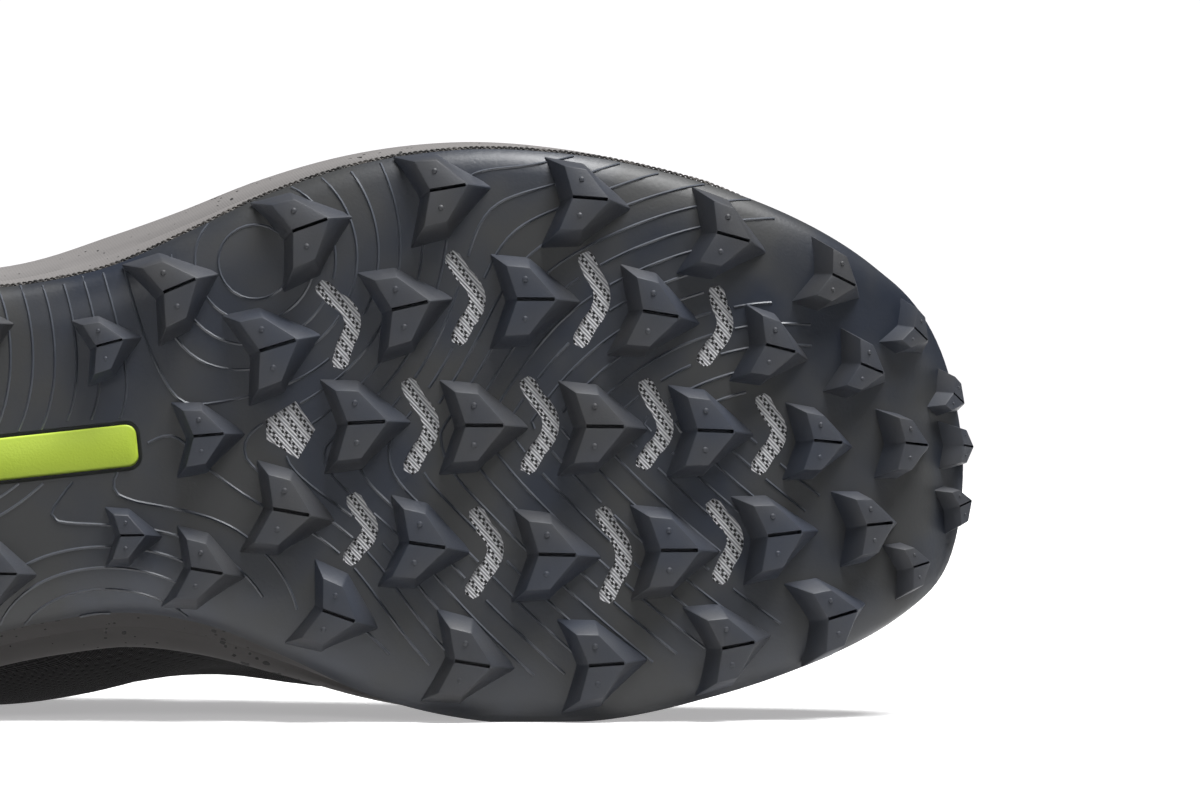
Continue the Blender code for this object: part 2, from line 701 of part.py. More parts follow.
def upper(group):
    """Hollow wall, open at the collar, at the throat and underneath."""
    solid = Solid()
    inner = UPPER - UPPER_NORMALS * wall_depths()[:, :, None]
    outside = solid.add(np.swapaxes(UPPER, 0, 1))
    inside = solid.add(np.swapaxes(inner, 0, 1))
    for low, high in zip(outside, outside[1:]):
        solid.band(low, high)
    for low, high in zip(inside, inside[1:]):
        solid.band(low, high, flip=True)
    solid.band(inside[0], outside[0])
    solid.band(outside[-1], inside[-1])
    return mesh_object("upper", solid, group, material("mesh_cloth", (0.012, 0.011, 0.012), 0.9))


def insole(group):
    """Footbed liner inside the upper."""
    foot = FLARE - INSET - WALL - 2 * GAP
    low = ring_at(foot, FOOTBED + GAP)
    side = ring_at(foot, FOOTBED + GAP + INSOLE * INSOLE_SIDE)
    high = ring_at(foot - INSOLE * INSOLE_BEVEL, FOOTBED + GAP + INSOLE)
    return mesh_object("insole", stack([low, side, high], patch(low), patch(high)), group,
                       material("liner", (0.03, 0.03, 0.03), 0.95))


def overlay(name, group, nodes, low, high, finish):
    """Skin over part of the upper, between two levels at each of its nodes."""
    inside = [level for level in UPPER_LEVELS if min(low) < level < max(high)]
    levels = [np.clip(level, low, high) for level in (0, *inside, 1)]
    grids = []
    for depth in (GAP, GAP + OVERLAY):
        face = wall(depth)
        grid = np.zeros((len(nodes), len(levels), 3))
        for j, row in enumerate(levels):
            for i, node in enumerate(nodes):
                grid[i, j] = [np.interp(row[i], UPPER_LEVELS, face[node, :, k]) for k in range(3)]
        grids.append(grid)
    return merged(mesh_object(name, slab(*grids), group, finish))


def merged(item):
    """Join the nodes that an overlay's uneven edge lays on each other."""
    shape = bmesh.new()
    shape.from_mesh(item.data)
    bmesh.ops.remove_doubles(shape, verts=shape.verts, dist=MERGE)
    bmesh.ops.dissolve_degenerate(shape, edges=shape.edges, dist=MERGE)
    shape.to_mesh(item.data)
    shape.free()
    return item


def level_at_rim(node, margin):
    """Level of the wall that lies a margin above the midsole's rim."""
    return np.interp(RIM[node] + margin, UPPER[node, :, 2], UPPER_LEVELS)


def nodes_between(start, end):
    """Nodes of the loop from one number up to another, past the end of the list."""
    return [k % len(TURNS) for k in range(start, end + 1)]


def mirror_node(node):
    """Node at the same place on the other side of the shoe."""
    return (2 * TOE_NODE - node) % len(TURNS)


def first_node(share):
    """First lateral node at or beyond a share of the length."""
    return int(np.argmax(SHARES[:TOE_NODE] >= share))


def toe_guard(group):
    """Skin round the toe, highest at the tip."""
    start = first_node(GUARD_BACK)
    nodes = nodes_between(start, mirror_node(start))
    low = [level_at_rim(node, 2 * GAP) for node in nodes]
    rise = np.sin(np.linspace(0, np.pi, len(nodes)))
    high = [bottom + GUARD_WIDTH + GUARD_RISE * r for bottom, r in zip(low, rise)]
    return overlay("toe_guard", group, nodes, low, high,
                   material("guard_film", (0.020, 0.020, 0.022), 0.4))


def heel_counter(group):
    """Skin round the heel."""
    start = first_node(COUNTER_FRONT)
    nodes = nodes_between(mirror_node(start) - len(TURNS), start)
    low = [level_at_rim(node, 2 * GAP) for node in nodes]
    rise = np.sin(np.linspace(0, np.pi, len(nodes)))
    high = [bottom + COUNTER_WIDTH + COUNTER_RISE * r for bottom, r in zip(low, rise)]
    return overlay("heel_counter", group, nodes, low, high,
                   material("counter_film", (0.025, 0.025, 0.027), 0.4))


def eyestay(group):
    """Skin round the throat that carries the eyelets."""
    start = first_node(STAY_BACK)
    nodes = nodes_between(start, mirror_node(start))
    low = [STAY_FOOT] * len(nodes)
    high = [STAY_END] * len(nodes)
    return overlay("eyestay", group, nodes, low, high,
                   material("stay_film", (0.022, 0.022, 0.024), 0.45))


def tongue_rows():
    """Sections of the tongue's outer face, from its foot under the vamp to its top."""
    first = first_node(STAY_BACK)
    last = TOE_NODE - 2
    lift = -(WALL + 2 * GAP)
    faces = [wall(lift, level) for level in TONGUE_LEVELS]
    rows = []
    for node in range(first, last + 1):
        other = mirror_node(node)
        lateral = [face[node] for face in faces]
        medial = [face[other] for face in reversed(faces)]
        rows.append(np.array(lateral + crown(lateral[-1], medial[0]) + medial))
    ahead = (rows[0] - rows[1]).mean(axis=0)
    ahead = ahead / np.linalg.norm(ahead)
    middle = rows[0].mean(axis=0)
    tops = []
    for rise, narrow in TONGUE_TOP:
        tops.append(middle + (rows[0] - middle) * narrow + ahead * TONGUE_RISE * rise)
    return np.stack(tops + rows)


def crown(left, right):
    """Points of the low arch between the two edges of the throat."""
    points = []
    for share in (0.25, 0.5, 0.75):
        lift = np.linalg.norm(right - left) * TONGUE_CROWN * 4 * share * (1 - share)
        points.append(left * (1 - share) + right * share + UP * lift)
    return points


def tongue(group):
    """Padded tongue under the throat."""
    outer = tongue_rows()
    normals = grid_normals(outer)
    across = np.abs(np.linspace(-1, 1, outer.shape[1]))[None, :, None]
    depth = TONGUE - (TONGUE - TONGUE_EDGE) * across ** 2
    return mesh_object("tongue", slab(outer - normals * depth, outer), group,
                       material("tongue_cloth", (0.02, 0.02, 0.022), 0.9))


def lace_path(node, other):
    """Way of one bar between two eyelets over the tongue, and what it lies flat on."""
    lift = OVERLAY + GAP + LACE_CLEARANCE + LACE_THICK / 2
    holes = wall(lift, EYELET_LEVEL)
    edges = wall(lift, 1.0)
    seats = wall(-(WALL + 2 * GAP), 1.0)
    top = crown(seats[node], seats[other])[1] + UP * (LACE_CLEARANCE + LACE_THICK)
    top[2] = max(top[2], (edges[node][2] + edges[other][2]) / 2)
    near = UPPER_NORMALS[node, -2]
    far = UPPER_NORMALS[other, -2]
    points = [holes[node], edges[node], top, edges[other], holes[other]]
    return np.array(points), np.array([near, near + UP, UP, far + UP, far])


def lace_bar(points, facing):
    """Flat band along a path."""
    ahead = np.gradient(points, axis=0)
    ahead /= np.linalg.norm(ahead, axis=1, keepdims=True)
    wide = np.cross(facing, ahead)
    wide /= np.linalg.norm(wide, axis=1, keepdims=True)
    thick = np.cross(ahead, wide)
    half = LACE_WIDTH / 2
    section = [(half, 0.5), (-half, 0.5), (-half, -0.5), (half, -0.5)]
    solid = Solid()
    rings = []
    for point, w, t in zip(points, wide, thick):
        rings.append(solid.add([point + w * a + t * b * LACE_THICK for a, b in section]))
    for low, high in zip(rings, rings[1:]):
        solid.band(low, high)
    solid.faces.append(tuple(rings[0][::-1]))
    solid.faces.append(tuple(rings[-1]))
    return solid


def laces(group, cutters):
    """Crossed bars from the lowest to the top eyelets, joined into one body."""
    finish = material("lace_cord", (0.03, 0.03, 0.032), 0.85)
    holes = [(first_node(share), mirror_node(first_node(share))) for share in EYELETS]
    paths = [lace_path(*holes[-1])]
    for (near, far), (near_next, far_next) in zip(holes, holes[1:]):
        paths.append(lace_path(near, far_next))
        paths.append(lace_path(near_next, far))
    bars = [lace_bar(*path) for path in paths]
    item = mesh_object("laces", bars[0], group, finish)
    for number, bar in enumerate(bars[1:]):
        boolean(item, mesh_object(f"lace_bar_{number + 1}", bar, cutters), "UNION")
    return item


def world_points(items):
    """Corners of the finished pieces in world space."""
    graph = bpy.context.evaluated_depsgraph_get()
    points = []
    for item in items:
        shape = item.evaluated_get(graph)
        mesh = shape.to_mesh()
        points.extend(item.matrix_world @ corner.co for corner in mesh.vertices)
        shape.to_mesh_clear()
    return points


def resting_direction(points, start):
    """Direction that points down once the shoe has rolled onto its medial side."""
    hull = bmesh.new()
    for point in points:
        hull.verts.new(point)
    shell = bmesh.ops.convex_hull(hull, input=hull.verts)
    loose = [part for part in shell["geom_interior"] if isinstance(part, bmesh.types.BMVert)]
    bmesh.ops.delete(hull, geom=loose, context="VERTS")
    bmesh.ops.recalc_face_normals(hull, faces=hull.faces)
    tree = BVHTree.FromBMesh(hull)
    down = start
    for _ in range(ROLLS):
        _, down, _, _ = tree.ray_cast(CENTRE, down)
    hull.free()
    return down


def lay_down(items, group):
    """Turn the shoe onto its medial side and set it on the floor."""
    down = resting_direction(world_points(items), Vector((0, 1, 0)))
    away = Vector((0, 0, 1))
    away = (away - down * away.dot(down)).normalized()
    turn = Matrix((away.cross(-down), away, -down)).to_4x4()
    pose = bpy.data.objects.new("pose", None)
    group.objects.link(pose)
    for item in items:
        item.parent = pose
    points = [turn @ point for point in world_points(items)]
    low = [min(point[k] for point in points) for k in range(3)]
    high = [max(point[k] for point in points) for k in range(3)]
    centre = Vector(((low[0] + high[0]) / 2, (low[1] + high[1]) / 2, low[2] + FLOOR_FLAT))
    pose.matrix_world = Matrix.Translation(-centre) @ turn
    bpy.context.view_layer.update()
    return pose


def floor_cutter(cutters):
    """Block under the floor that flattens what rests on it."""
    bpy.ops.mesh.primitive_cube_add(size=1, location=(0, 0, -LENGTH / 2))
    item = bpy.context.active_object
    item.name = "floor_cutter"
    item.scale = (2 * LENGTH, 2 * LENGTH, LENGTH)
    for owner in list(item.users_collection):
        owner.objects.unlink(item)
    cutters.objects.link(item)
    item.hide_render = True
    item.display_type = "WIRE"
    return item


def build():
    """Make every piece, lay the shoe down and flatten its resting spots."""
    clear_scene()
    shoe = collection("trail_running_shoe")
    cutters = collection("cutters", hidden=True)
    sole = outsole(shoe, cutters)
    cup = midsole(shoe, cutters)
    shell = upper(shoe)
    pieces = [sole, cup, shell, badge(shoe), plate(shoe), insole(shoe)]
    pieces += [toe_guard(shoe), heel_counter(shoe), eyestay(shoe), tongue(shoe)]
    pieces.append(laces(shoe, cutters))
    tools = list(cutters.objects)
    bpy.context.view_layer.update()
    pose = lay_down(pieces, shoe)
    for tool in tools:
        tool.parent = pose
    floor = floor_cutter(cutters)
    for item in (sole, cup, shell):
        boolean(item, floor, "DIFFERENCE")


build()
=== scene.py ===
"""Looks of the right trail running shoe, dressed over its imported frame.

Every piece is shaped on the upright shoe, in metres: X runs from heel to toe, Y towards
the medial side and Z up from the ground.  POSE then lays it on its medial side, where
the frame lies.
"""

import math

import bpy
import numpy as np
from mathutils import Matrix, Vector
from mathutils.bvhtree import BVHTree


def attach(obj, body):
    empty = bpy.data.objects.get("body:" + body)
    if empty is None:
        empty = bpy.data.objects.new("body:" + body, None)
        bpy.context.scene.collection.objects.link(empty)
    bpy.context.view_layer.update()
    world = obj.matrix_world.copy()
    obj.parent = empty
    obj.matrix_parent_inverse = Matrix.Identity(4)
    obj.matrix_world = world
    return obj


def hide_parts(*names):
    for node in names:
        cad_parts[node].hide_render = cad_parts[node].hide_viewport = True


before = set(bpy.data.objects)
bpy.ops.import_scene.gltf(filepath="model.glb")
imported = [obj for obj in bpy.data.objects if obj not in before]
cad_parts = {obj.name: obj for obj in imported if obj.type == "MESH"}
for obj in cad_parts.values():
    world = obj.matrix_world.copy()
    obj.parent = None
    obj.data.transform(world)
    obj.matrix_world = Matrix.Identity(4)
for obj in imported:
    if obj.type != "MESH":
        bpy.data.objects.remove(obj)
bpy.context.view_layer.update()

MM = 0.001
UP = np.array([0.0, 0.0, 1.0])

# How the upright shoe lies on the floor
POSE = Matrix((
    (0.99881, 0.04886, 0.0, -0.15056),
    (0.00439, -0.08972, 0.99596, -0.05439),
    (0.04866, -0.99477, -0.08983, 0.04065),
    (0.0, 0.0, 0.0, 1.0),
))

# Sizes of the shoe, as the frame has them
LENGTH = 300 * MM
BALL_WIDTH = 114.5 * MM
HEEL_WIDTH = 86 * MM
HEEL_STACK = 30 * MM
TOE_SPRING = 33 * MM
HEEL_BEVEL = 8 * MM
CUP_RISE = 10 * MM
EDGE_ROLL = 3 * MM
EDGE_TURN = 1.4 * MM
TOE_REACH = 1.4 * MM
ROLL_START = 0.6
TURN_START = 0.93
RUBBER = 2.5 * MM
SIDE_STEP = 1.0 * MM
RIM_SLOPE = 1.2 * MM
LIP = 1.2 * MM
SEAM_OUT = (-1.0 * MM, 0.5 * MM)
SEAM_RISE = 0.35 * MM
SEAM_PITCH = 2.2 * MM
SEAM_RADIUS = 0.28 * MM
SEAM_END = 0.90
SEAM_FADE = 0.06
COLLAR_HEIGHT = 99 * MM
LAST_HEIGHT = 60 * MM
WALL = 2.4 * MM
COLLAR_PAD = 5 * MM
COLLAR_FRONT = 0.40
OVERLAY = 1.2 * MM
PLATE = 1.0 * MM
WEAVE_DEPTH = 0.8 * MM
INSOLE = 4 * MM
TONGUE = 5 * MM
TONGUE_EDGE = 2 * MM
TONGUE_RISE = 26 * MM
LUG_HEIGHT = 5 * MM
LUG_LENGTH = 16.8 * MM
LUG_WIDTH = 18.7 * MM
LUG_ROOT = 1.7 * MM
WINDOW_WIDTH = 3.3 * MM
BADGE_LENGTH = 56 * MM
BADGE_WIDTH = 8.2 * MM
BADGE_CORNER = 2 * MM
BADGE_PROUD = 0.7 * MM
BADGE_SEAT = 1.0 * MM
BADGE_CLEARANCE = 0.8 * MM
LACE_WIDTH = 5.6 * MM
LACE_THICK = 1.3 * MM
GAP = 0.3 * MM

# Nodes of the surfaces: along, across, and the arcs left to the heel and the toe
ROWS = 127
COLS = 37
HEEL_ARC = 0.50
TOE_ARC = 0.42

# Plan of the sole: share of LENGTH, width, tread lateral and medial, flare lateral and
# medial, inset of the upper's foot and lean of its medial arch, as shares of the width
PLAN = (
    (0.000, HEEL_WIDTH, 0.000, 0.000, 0.010, 0.010, 0.055, 0.000),
    (0.020, HEEL_WIDTH, 0.233, 0.233, 0.012, 0.000, 0.055, 0.000),
    (0.080, HEEL_WIDTH, 0.424, 0.424, 0.016, -0.016, 0.055, 0.000),
    (0.150, HEEL_WIDTH, 0.494, 0.494, 0.022, -0.026, 0.055, 0.000),
    (0.220, HEEL_WIDTH, 0.486, 0.462, 0.040, 0.010, 0.052, 0.020),
    (0.300, BALL_WIDTH, 0.350, 0.288, 0.045, 0.036, 0.040, 0.075),
    (0.400, BALL_WIDTH, 0.351, 0.230, 0.060, 0.050, 0.036, 0.148),
    (0.450, BALL_WIDTH, 0.374, 0.221, 0.072, 0.052, 0.036, 0.130),
    (0.500, BALL_WIDTH, 0.425, 0.247, 0.060, 0.048, 0.040, 0.072),
    (0.550, BALL_WIDTH, 0.480, 0.306, 0.049, 0.030, 0.046, 0.005),
    (0.600, BALL_WIDTH, 0.520, 0.375, 0.040, 0.004, 0.050, 0.000),
    (0.680, BALL_WIDTH, 0.545, 0.436, 0.030, -0.018, 0.052, 0.000),
    (0.750, BALL_WIDTH, 0.530, 0.444, 0.022, -0.022, 0.052, 0.000),
    (0.830, BALL_WIDTH, 0.479, 0.410, 0.012, -0.018, 0.052, 0.000),
    (0.900, BALL_WIDTH, 0.405, 0.353, 0.004, -0.012, 0.052, 0.000),
    (0.950, BALL_WIDTH, 0.319, 0.287, 0.000, -0.006, 0.052, 0.000),
    (0.985, BALL_WIDTH, 0.206, 0.197, 0.000, 0.000, 0.050, 0.000),
    (1.000, BALL_WIDTH, 0.000, 0.000, 0.000, 0.000, 0.050, 0.000),
)

# Heights along the sole, as shares of TOE_SPRING, HEEL_BEVEL, HEEL_STACK and CUP_RISE
# at, spring, bevel, footbed, rim lateral, rim medial
HEIGHTS = (
    (0.000, 0.000, 1.00, 1.030, 1.25, 1.25),
    (0.020, 0.000, 0.72, 1.030, 1.25, 1.25),
    (0.080, 0.000, 0.20, 1.010, 1.10, 1.15),
    (0.150, 0.000, 0.00, 1.000, 0.90, 1.05),
    (0.300, 0.000, 0.00, 0.965, 0.80, 0.40),
    (0.450, 0.000, 0.00, 0.900, 0.80, 0.15),
    (0.600, 0.000, 0.00, 0.810, 0.70, 0.35),
    (0.680, 0.000, 0.00, 0.775, 0.65, 0.60),
    (0.760, 0.024, 0.00, 0.775, 0.60, 0.60),
    (0.823, 0.100, 0.00, 0.820, 0.60, 0.60),
    (0.887, 0.240, 0.00, 0.920, 0.65, 0.65),
    (0.940, 0.455, 0.00, 1.040, 0.80, 0.80),
    (0.967, 0.620, 0.00, 1.120, 0.95, 0.95),
    (0.987, 0.850, 0.00, 1.180, 1.05, 1.05),
    (1.000, 1.000, 0.00, 1.220, 1.10, 1.10),
)

# Side of the midsole, from the rubber's edge over the rim and down into the cup
# share of the height, share of the flare, share of SIDE_STEP, share of RIM_SLOPE
SIDE = (
    (0.00, 0.00, 0.0, 0.0), (0.03, 0.05, 0.3, 0.0), (0.16, 0.28, 0.35, 0.0),
    (0.28, 0.48, 0.2, 0.0), (0.315, 0.54, 0.0, 0.0), (0.345, 0.58, 0.8, 0.0),
    (0.38, 0.64, 1.0, 0.0), (0.50, 0.80, 1.1, 0.0), (0.64, 0.95, 1.1, 0.0),
    (0.78, 1.00, 1.0, -0.1), (0.90, 0.96, 1.0, -0.5), (0.965, 0.93, 1.0, -1.0),
    (0.995, 0.92, 0.9, -1.6),
)

# Collar and throat edge, as shares of LENGTH, BALL_WIDTH twice and COLLAR_HEIGHT, and
# the reach of each wall's curve at foot and edge, as shares of LAST_HEIGHT
# at, x, y lateral, y medial, z, out low, up low, out high, down high
EDGE = (
    (0.00, 0.038, 0.000, 0.000, 1.000, 0.13, 0.38, -0.07, 0.34),
    (0.03, 0.050, 0.130, 0.130, 0.988, 0.13, 0.38, -0.05, 0.33),
    (0.08, 0.084, 0.235, 0.235, 0.940, 0.08, 0.36, -0.02, 0.30),
    (0.15, 0.135, 0.300, 0.300, 0.865, 0.05, 0.34, 0.00, 0.28),
    (0.24, 0.210, 0.315, 0.320, 0.825, 0.05, 0.34, 0.01, 0.28),
    (0.33, 0.285, 0.288, 0.305, 0.885, 0.06, 0.34, 0.06, 0.27),
    (0.42, 0.355, 0.232, 0.222, 1.060, 0.05, 0.36, 0.20, 0.24),
    (0.50, 0.425, 0.200, 0.185, 1.035, 0.05, 0.36, 0.34, 0.20),
    (0.58, 0.495, 0.185, 0.168, 0.960, 0.05, 0.34, 0.40, 0.17),
    (0.66, 0.565, 0.172, 0.152, 0.880, 0.06, 0.32, 0.44, 0.14),
    (0.74, 0.630, 0.150, 0.128, 0.800, 0.07, 0.30, 0.46, 0.10),
    (0.83, 0.680, 0.115, 0.090, 0.745, 0.09, 0.32, 0.48, 0.05),
    (0.92, 0.702, 0.062, 0.040, 0.725, 0.10, 0.38, 0.54, 0.00),
    (1.00, 0.707, 0.012, -0.012, 0.720, 0.10, 0.42, 0.60, -0.02),
)

# Places of the lugs: share of LENGTH, share of BALL_WIDTH towards the lateral side,
# turn in degrees towards the lateral side, size
LUGS = (
    # Lateral edge
    (0.360, 0.262, 14, 0.76), (0.490, 0.318, 20, 0.92), (0.576, 0.408, 17, 0.98),
    (0.666, 0.463, 7, 0.97), (0.757, 0.438, -6, 0.94), (0.847, 0.370, -15, 0.92),
    (0.917, 0.296, -22, 0.74), (0.968, 0.208, -28, 0.58), (0.992, 0.099, -22, 0.50),
    # Lateral inner row
    (0.444, 0.231, 12, 0.72), (0.551, 0.211, 14, 1.00), (0.638, 0.269, 10, 0.98),
    (0.719, 0.274, -3, 1.00), (0.798, 0.243, -11, 0.97), (0.874, 0.179, -14, 0.84),
    (0.932, 0.144, -18, 0.72),
    # Centre row
    (0.505, 0.068, 2, 0.80), (0.606, 0.077, 0, 1.00), (0.682, 0.063, -3, 1.00),
    (0.759, 0.052, -3, 1.00), (0.829, 0.038, -4, 0.98), (0.901, 0.015, -5, 0.82),
    (0.958, 0.010, -4, 0.74), (0.996, 0.013, -3, 0.50),
    # Medial inner row
    (0.555, -0.065, -13, 0.98), (0.642, -0.133, -11, 0.97), (0.725, -0.162, -4, 0.98),
    (0.802, -0.164, -2, 1.00), (0.870, -0.144, 5, 0.94), (0.931, -0.130, 4, 0.80),
    (0.960, -0.201, 11, 0.58), (0.993, -0.093, 14, 0.50),
    # Medial edge
    (0.369, -0.147, -4, 0.72), (0.454, -0.095, -2, 0.64), (0.500, -0.157, -12, 0.84),
    (0.584, -0.239, -22, 0.90), (0.668, -0.332, -12, 0.94), (0.753, -0.348, 1, 0.94),
    (0.837, -0.326, 7, 0.90), (0.904, -0.283, 11, 0.86),
    # Heel, braking backwards
    (0.045, 0.095, 172, 0.80), (0.045, -0.095, 188, 0.80), (0.115, 0.000, 180, 0.92),
    (0.110, 0.240, 160, 0.88), (0.110, -0.240, 200, 0.88), (0.180, 0.110, 180, 0.90),
    (0.180, -0.110, 180, 0.90), (0.185, 0.285, 176, 0.84), (0.185, -0.275, 184, 0.84),
    (0.250, 0.000, 180, 0.90), (0.255, 0.200, 178, 0.86), (0.255, -0.185, 182, 0.80),
)

# Windows in the rubber: upper end, bend, lower end, along and across for each
WINDOWS = (
    (0.588, 0.315, 0.607, 0.262, 0.597, 0.186), (0.673, 0.355, 0.689, 0.285, 0.675, 0.217),
    (0.760, 0.344, 0.770, 0.274, 0.754, 0.204), (0.844, 0.278, 0.849, 0.217, 0.834, 0.164),
    (0.641, 0.141, 0.655, 0.070, 0.640, 0.001), (0.718, 0.134, 0.733, 0.063, 0.716, -0.008),
    (0.795, 0.122, 0.807, 0.047, 0.791, -0.010), (0.871, 0.090, 0.881, 0.034, 0.866, -0.024),
    (0.602, -0.050, 0.612, -0.103, 0.598, -0.149), (0.681, -0.084, 0.693, -0.148, 0.676, -0.215),
    (0.763, -0.093, 0.776, -0.165, 0.763, -0.234), (0.835, -0.088, 0.849, -0.144, 0.837, -0.210),
)
SHIELD = ((0.547, 0.094), (0.567, 0.123), (0.579, 0.073), (0.567, 0.024), (0.547, 0.060))

# Badge in the shank: front end along and across, and its turn
BADGE_FRONT = 0.463
BADGE_SIDE = 0.062
BADGE_TURN = math.radians(3.4)

# Reach of the woven plate along and across the grid of the sole
PLATE_ROWS = (0.53, 0.92)
PLATE_COLS = (1 / 6, 5 / 6)

# Overlays, as shares of LENGTH and of the wall's height
GUARD_BACK = 0.62
GUARD_WIDTH = 0.06
GUARD_RISE = 0.16
COUNTER_FRONT = 0.17
COUNTER_WIDTH = 0.07
COUNTER_RISE = 0.30
STAY_BACK = 0.42
STAY_FOOT = 0.74
STAY_END = 0.965
EYELET_LEVEL = 0.88
EYELETS = (0.43, 0.53, 0.62, 0.70, 0.78, 0.85)


def angle(at):
    """Angle round the plan of a share of the length: 0 at the heel, pi at the toe."""
    return np.arccos(1 - 2 * np.asarray(at, float))


def share_at(turn):
    """Share of the length at a turn round the plan."""
    return (1 - np.cos(turn)) / 2


def smooth(xs, ys, x):
    """Cubic curve through the rows, read at x."""
    xs = np.asarray(xs, float)
    ys = np.asarray(ys, float)
    slope = np.gradient(ys, xs)
    k = np.clip(np.searchsorted(xs, x) - 1, 0, len(xs) - 2)
    h = xs[k + 1] - xs[k]
    t = (x - xs[k]) / h
    start = (1 + 2 * t) * (1 - t) ** 2 * ys[k] + t * (1 - t) ** 2 * h * slope[k]
    end = t * t * (3 - 2 * t) * ys[k + 1] + t * t * (t - 1) * h * slope[k + 1]
    return start + end


def around(at, lateral, medial, turn):
    """Value at a turn round the plan, from rows for the two sides of the shoe."""
    rows = angle(at)
    turns = np.concatenate([rows, 2 * np.pi - rows[-2:0:-1]])
    values = np.concatenate([lateral, np.asarray(medial)[-2:0:-1]])
    circle = 2 * np.pi
    xs = np.concatenate([turns - circle, turns, turns + circle])
    return smooth(xs, np.tile(values, 3), np.mod(turn, circle))


def columns(table):
    """A table of rows as columns of numbers."""
    return [np.array(column, float) for column in zip(*table)]


def table_value(table, lateral, medial, scale, turns):
    """Column of a table read at turns round the plan."""
    data = columns(table)
    return around(data[0], data[lateral] * scale, data[medial] * scale, turns)


def flare_at(turns):
    """How far the midsole's side flares beyond the rubber."""
    return table_value(PLAN, 4, 5, columns(PLAN)[1], turns)


def inset_at(turns):
    """How far the upper's foot is set in from the flare."""
    return table_value(PLAN, 6, 6, columns(PLAN)[1], turns)


def footbed_at(turns):
    """Height of the footbed."""
    return table_value(HEIGHTS, 3, 3, HEEL_STACK, turns)


def sole_turns():
    """Turns round the plan of the loop that edges the sole's grid."""
    lateral = np.linspace(HEEL_ARC, np.pi - TOE_ARC, ROWS)
    toe = np.linspace(np.pi - TOE_ARC, np.pi + TOE_ARC, COLS)
    heel = np.linspace(2 * np.pi - HEEL_ARC, 2 * np.pi + HEEL_ARC, COLS)
    return np.concatenate([lateral, toe[1:], 2 * np.pi - lateral[-2::-1], heel[1:-1]])


def plan_ring(turns):
    """Edge of the rubber in plan and its outward directions, at turns round it."""
    at, width, lateral, medial = columns(PLAN)[:4]

    def place(turn):
        y = around(at, -lateral * width, medial * width, turn)
        share = share_at(turn)
        return np.stack([share * LENGTH + TOE_REACH * share ** 8, y], axis=1)

    step = place(turns + 0.02) - place(turns - 0.02)
    out = np.stack([step[:, 1], -step[:, 0]], axis=1)
    return place(turns), out / np.linalg.norm(out, axis=1, keepdims=True)


def ring_at(turns, out, z):
    """Ring of points at a distance outside the edge of the rubber."""
    plan, outward = plan_ring(turns)
    return np.column_stack([plan + outward * np.reshape(out, (-1, 1)), z])


def loop_cells():
    """Cells of the sole's grid that lie on its edge, in the loop's order."""
    lateral = [(i, 0) for i in range(ROWS)]
    toe = [(ROWS - 1, j) for j in range(1, COLS)]
    medial = [(i, COLS - 1) for i in range(ROWS - 2, -1, -1)]
    heel = [(0, j) for j in range(COLS - 2, 0, -1)]
    return lateral + toe + medial + heel


TURNS = sole_turns()
CELLS = loop_cells()
ROW_SHARES = share_at(np.linspace(HEEL_ARC, np.pi - TOE_ARC, ROWS))


def patch(ring):
    """Grid that fills a closed ring, level across the shoe."""
    grid = np.zeros((ROWS, COLS, ring.shape[1]))
    for cell, point in zip(CELLS, ring):
        grid[cell] = point
    along = np.linspace(0, 1, ROWS)[:, None, None]
    across = np.linspace(0, 1, COLS)[None, :, None]
    ends = (1 - along) * grid[:1] + along * grid[-1:]
    sides = (1 - across) * grid[:, :1] + across * grid[:, -1:]
    back = (1 - across) * grid[0, 0] + across * grid[0, -1]
    front = (1 - across) * grid[-1, 0] + across * grid[-1, -1]
    filled = ends + sides - (1 - along) * back - along * front
    filled[1:-1, :, 2:] = sides[1:-1, :, 2:]
    return filled


def grid_normals(grid, closed=False):
    """Unit normals of a grid of points; closed means that its first axis is a ring."""
    if closed:
        first = np.roll(grid, -1, axis=0) - np.roll(grid, 1, axis=0)
    else:
        first = np.gradient(grid, axis=0)
    normal = np.cross(first, np.gradient(grid, axis=1))
    return normal / np.linalg.norm(normal, axis=2, keepdims=True)


def tread_grid():
    """Outer face of the rubber sheet: spring, heel bevel and rolled edges."""
    plan = patch(plan_ring(TURNS)[0])
    at, spring, bevel = columns(HEIGHTS)[:3]
    turn = angle(np.clip(plan[:, :, 0] / LENGTH, 0, 1))
    rise = smooth(angle(at), spring * TOE_SPRING + bevel * HEEL_BEVEL, turn)
    edge = np.abs(np.linspace(-1, 1, COLS))[None, :]
    roll = EDGE_ROLL * np.clip((edge - ROLL_START) / (1 - ROLL_START), 0, 1) ** 2
    roll += EDGE_TURN * np.clip((edge - TURN_START) / (1 - TURN_START), 0, 1) ** 1.5
    return np.dstack([plan, LUG_HEIGHT + rise + roll])


SHEET = tread_grid()
SHEET_NORMALS = grid_normals(SHEET)
RING = np.array([SHEET[cell] for cell in CELLS])


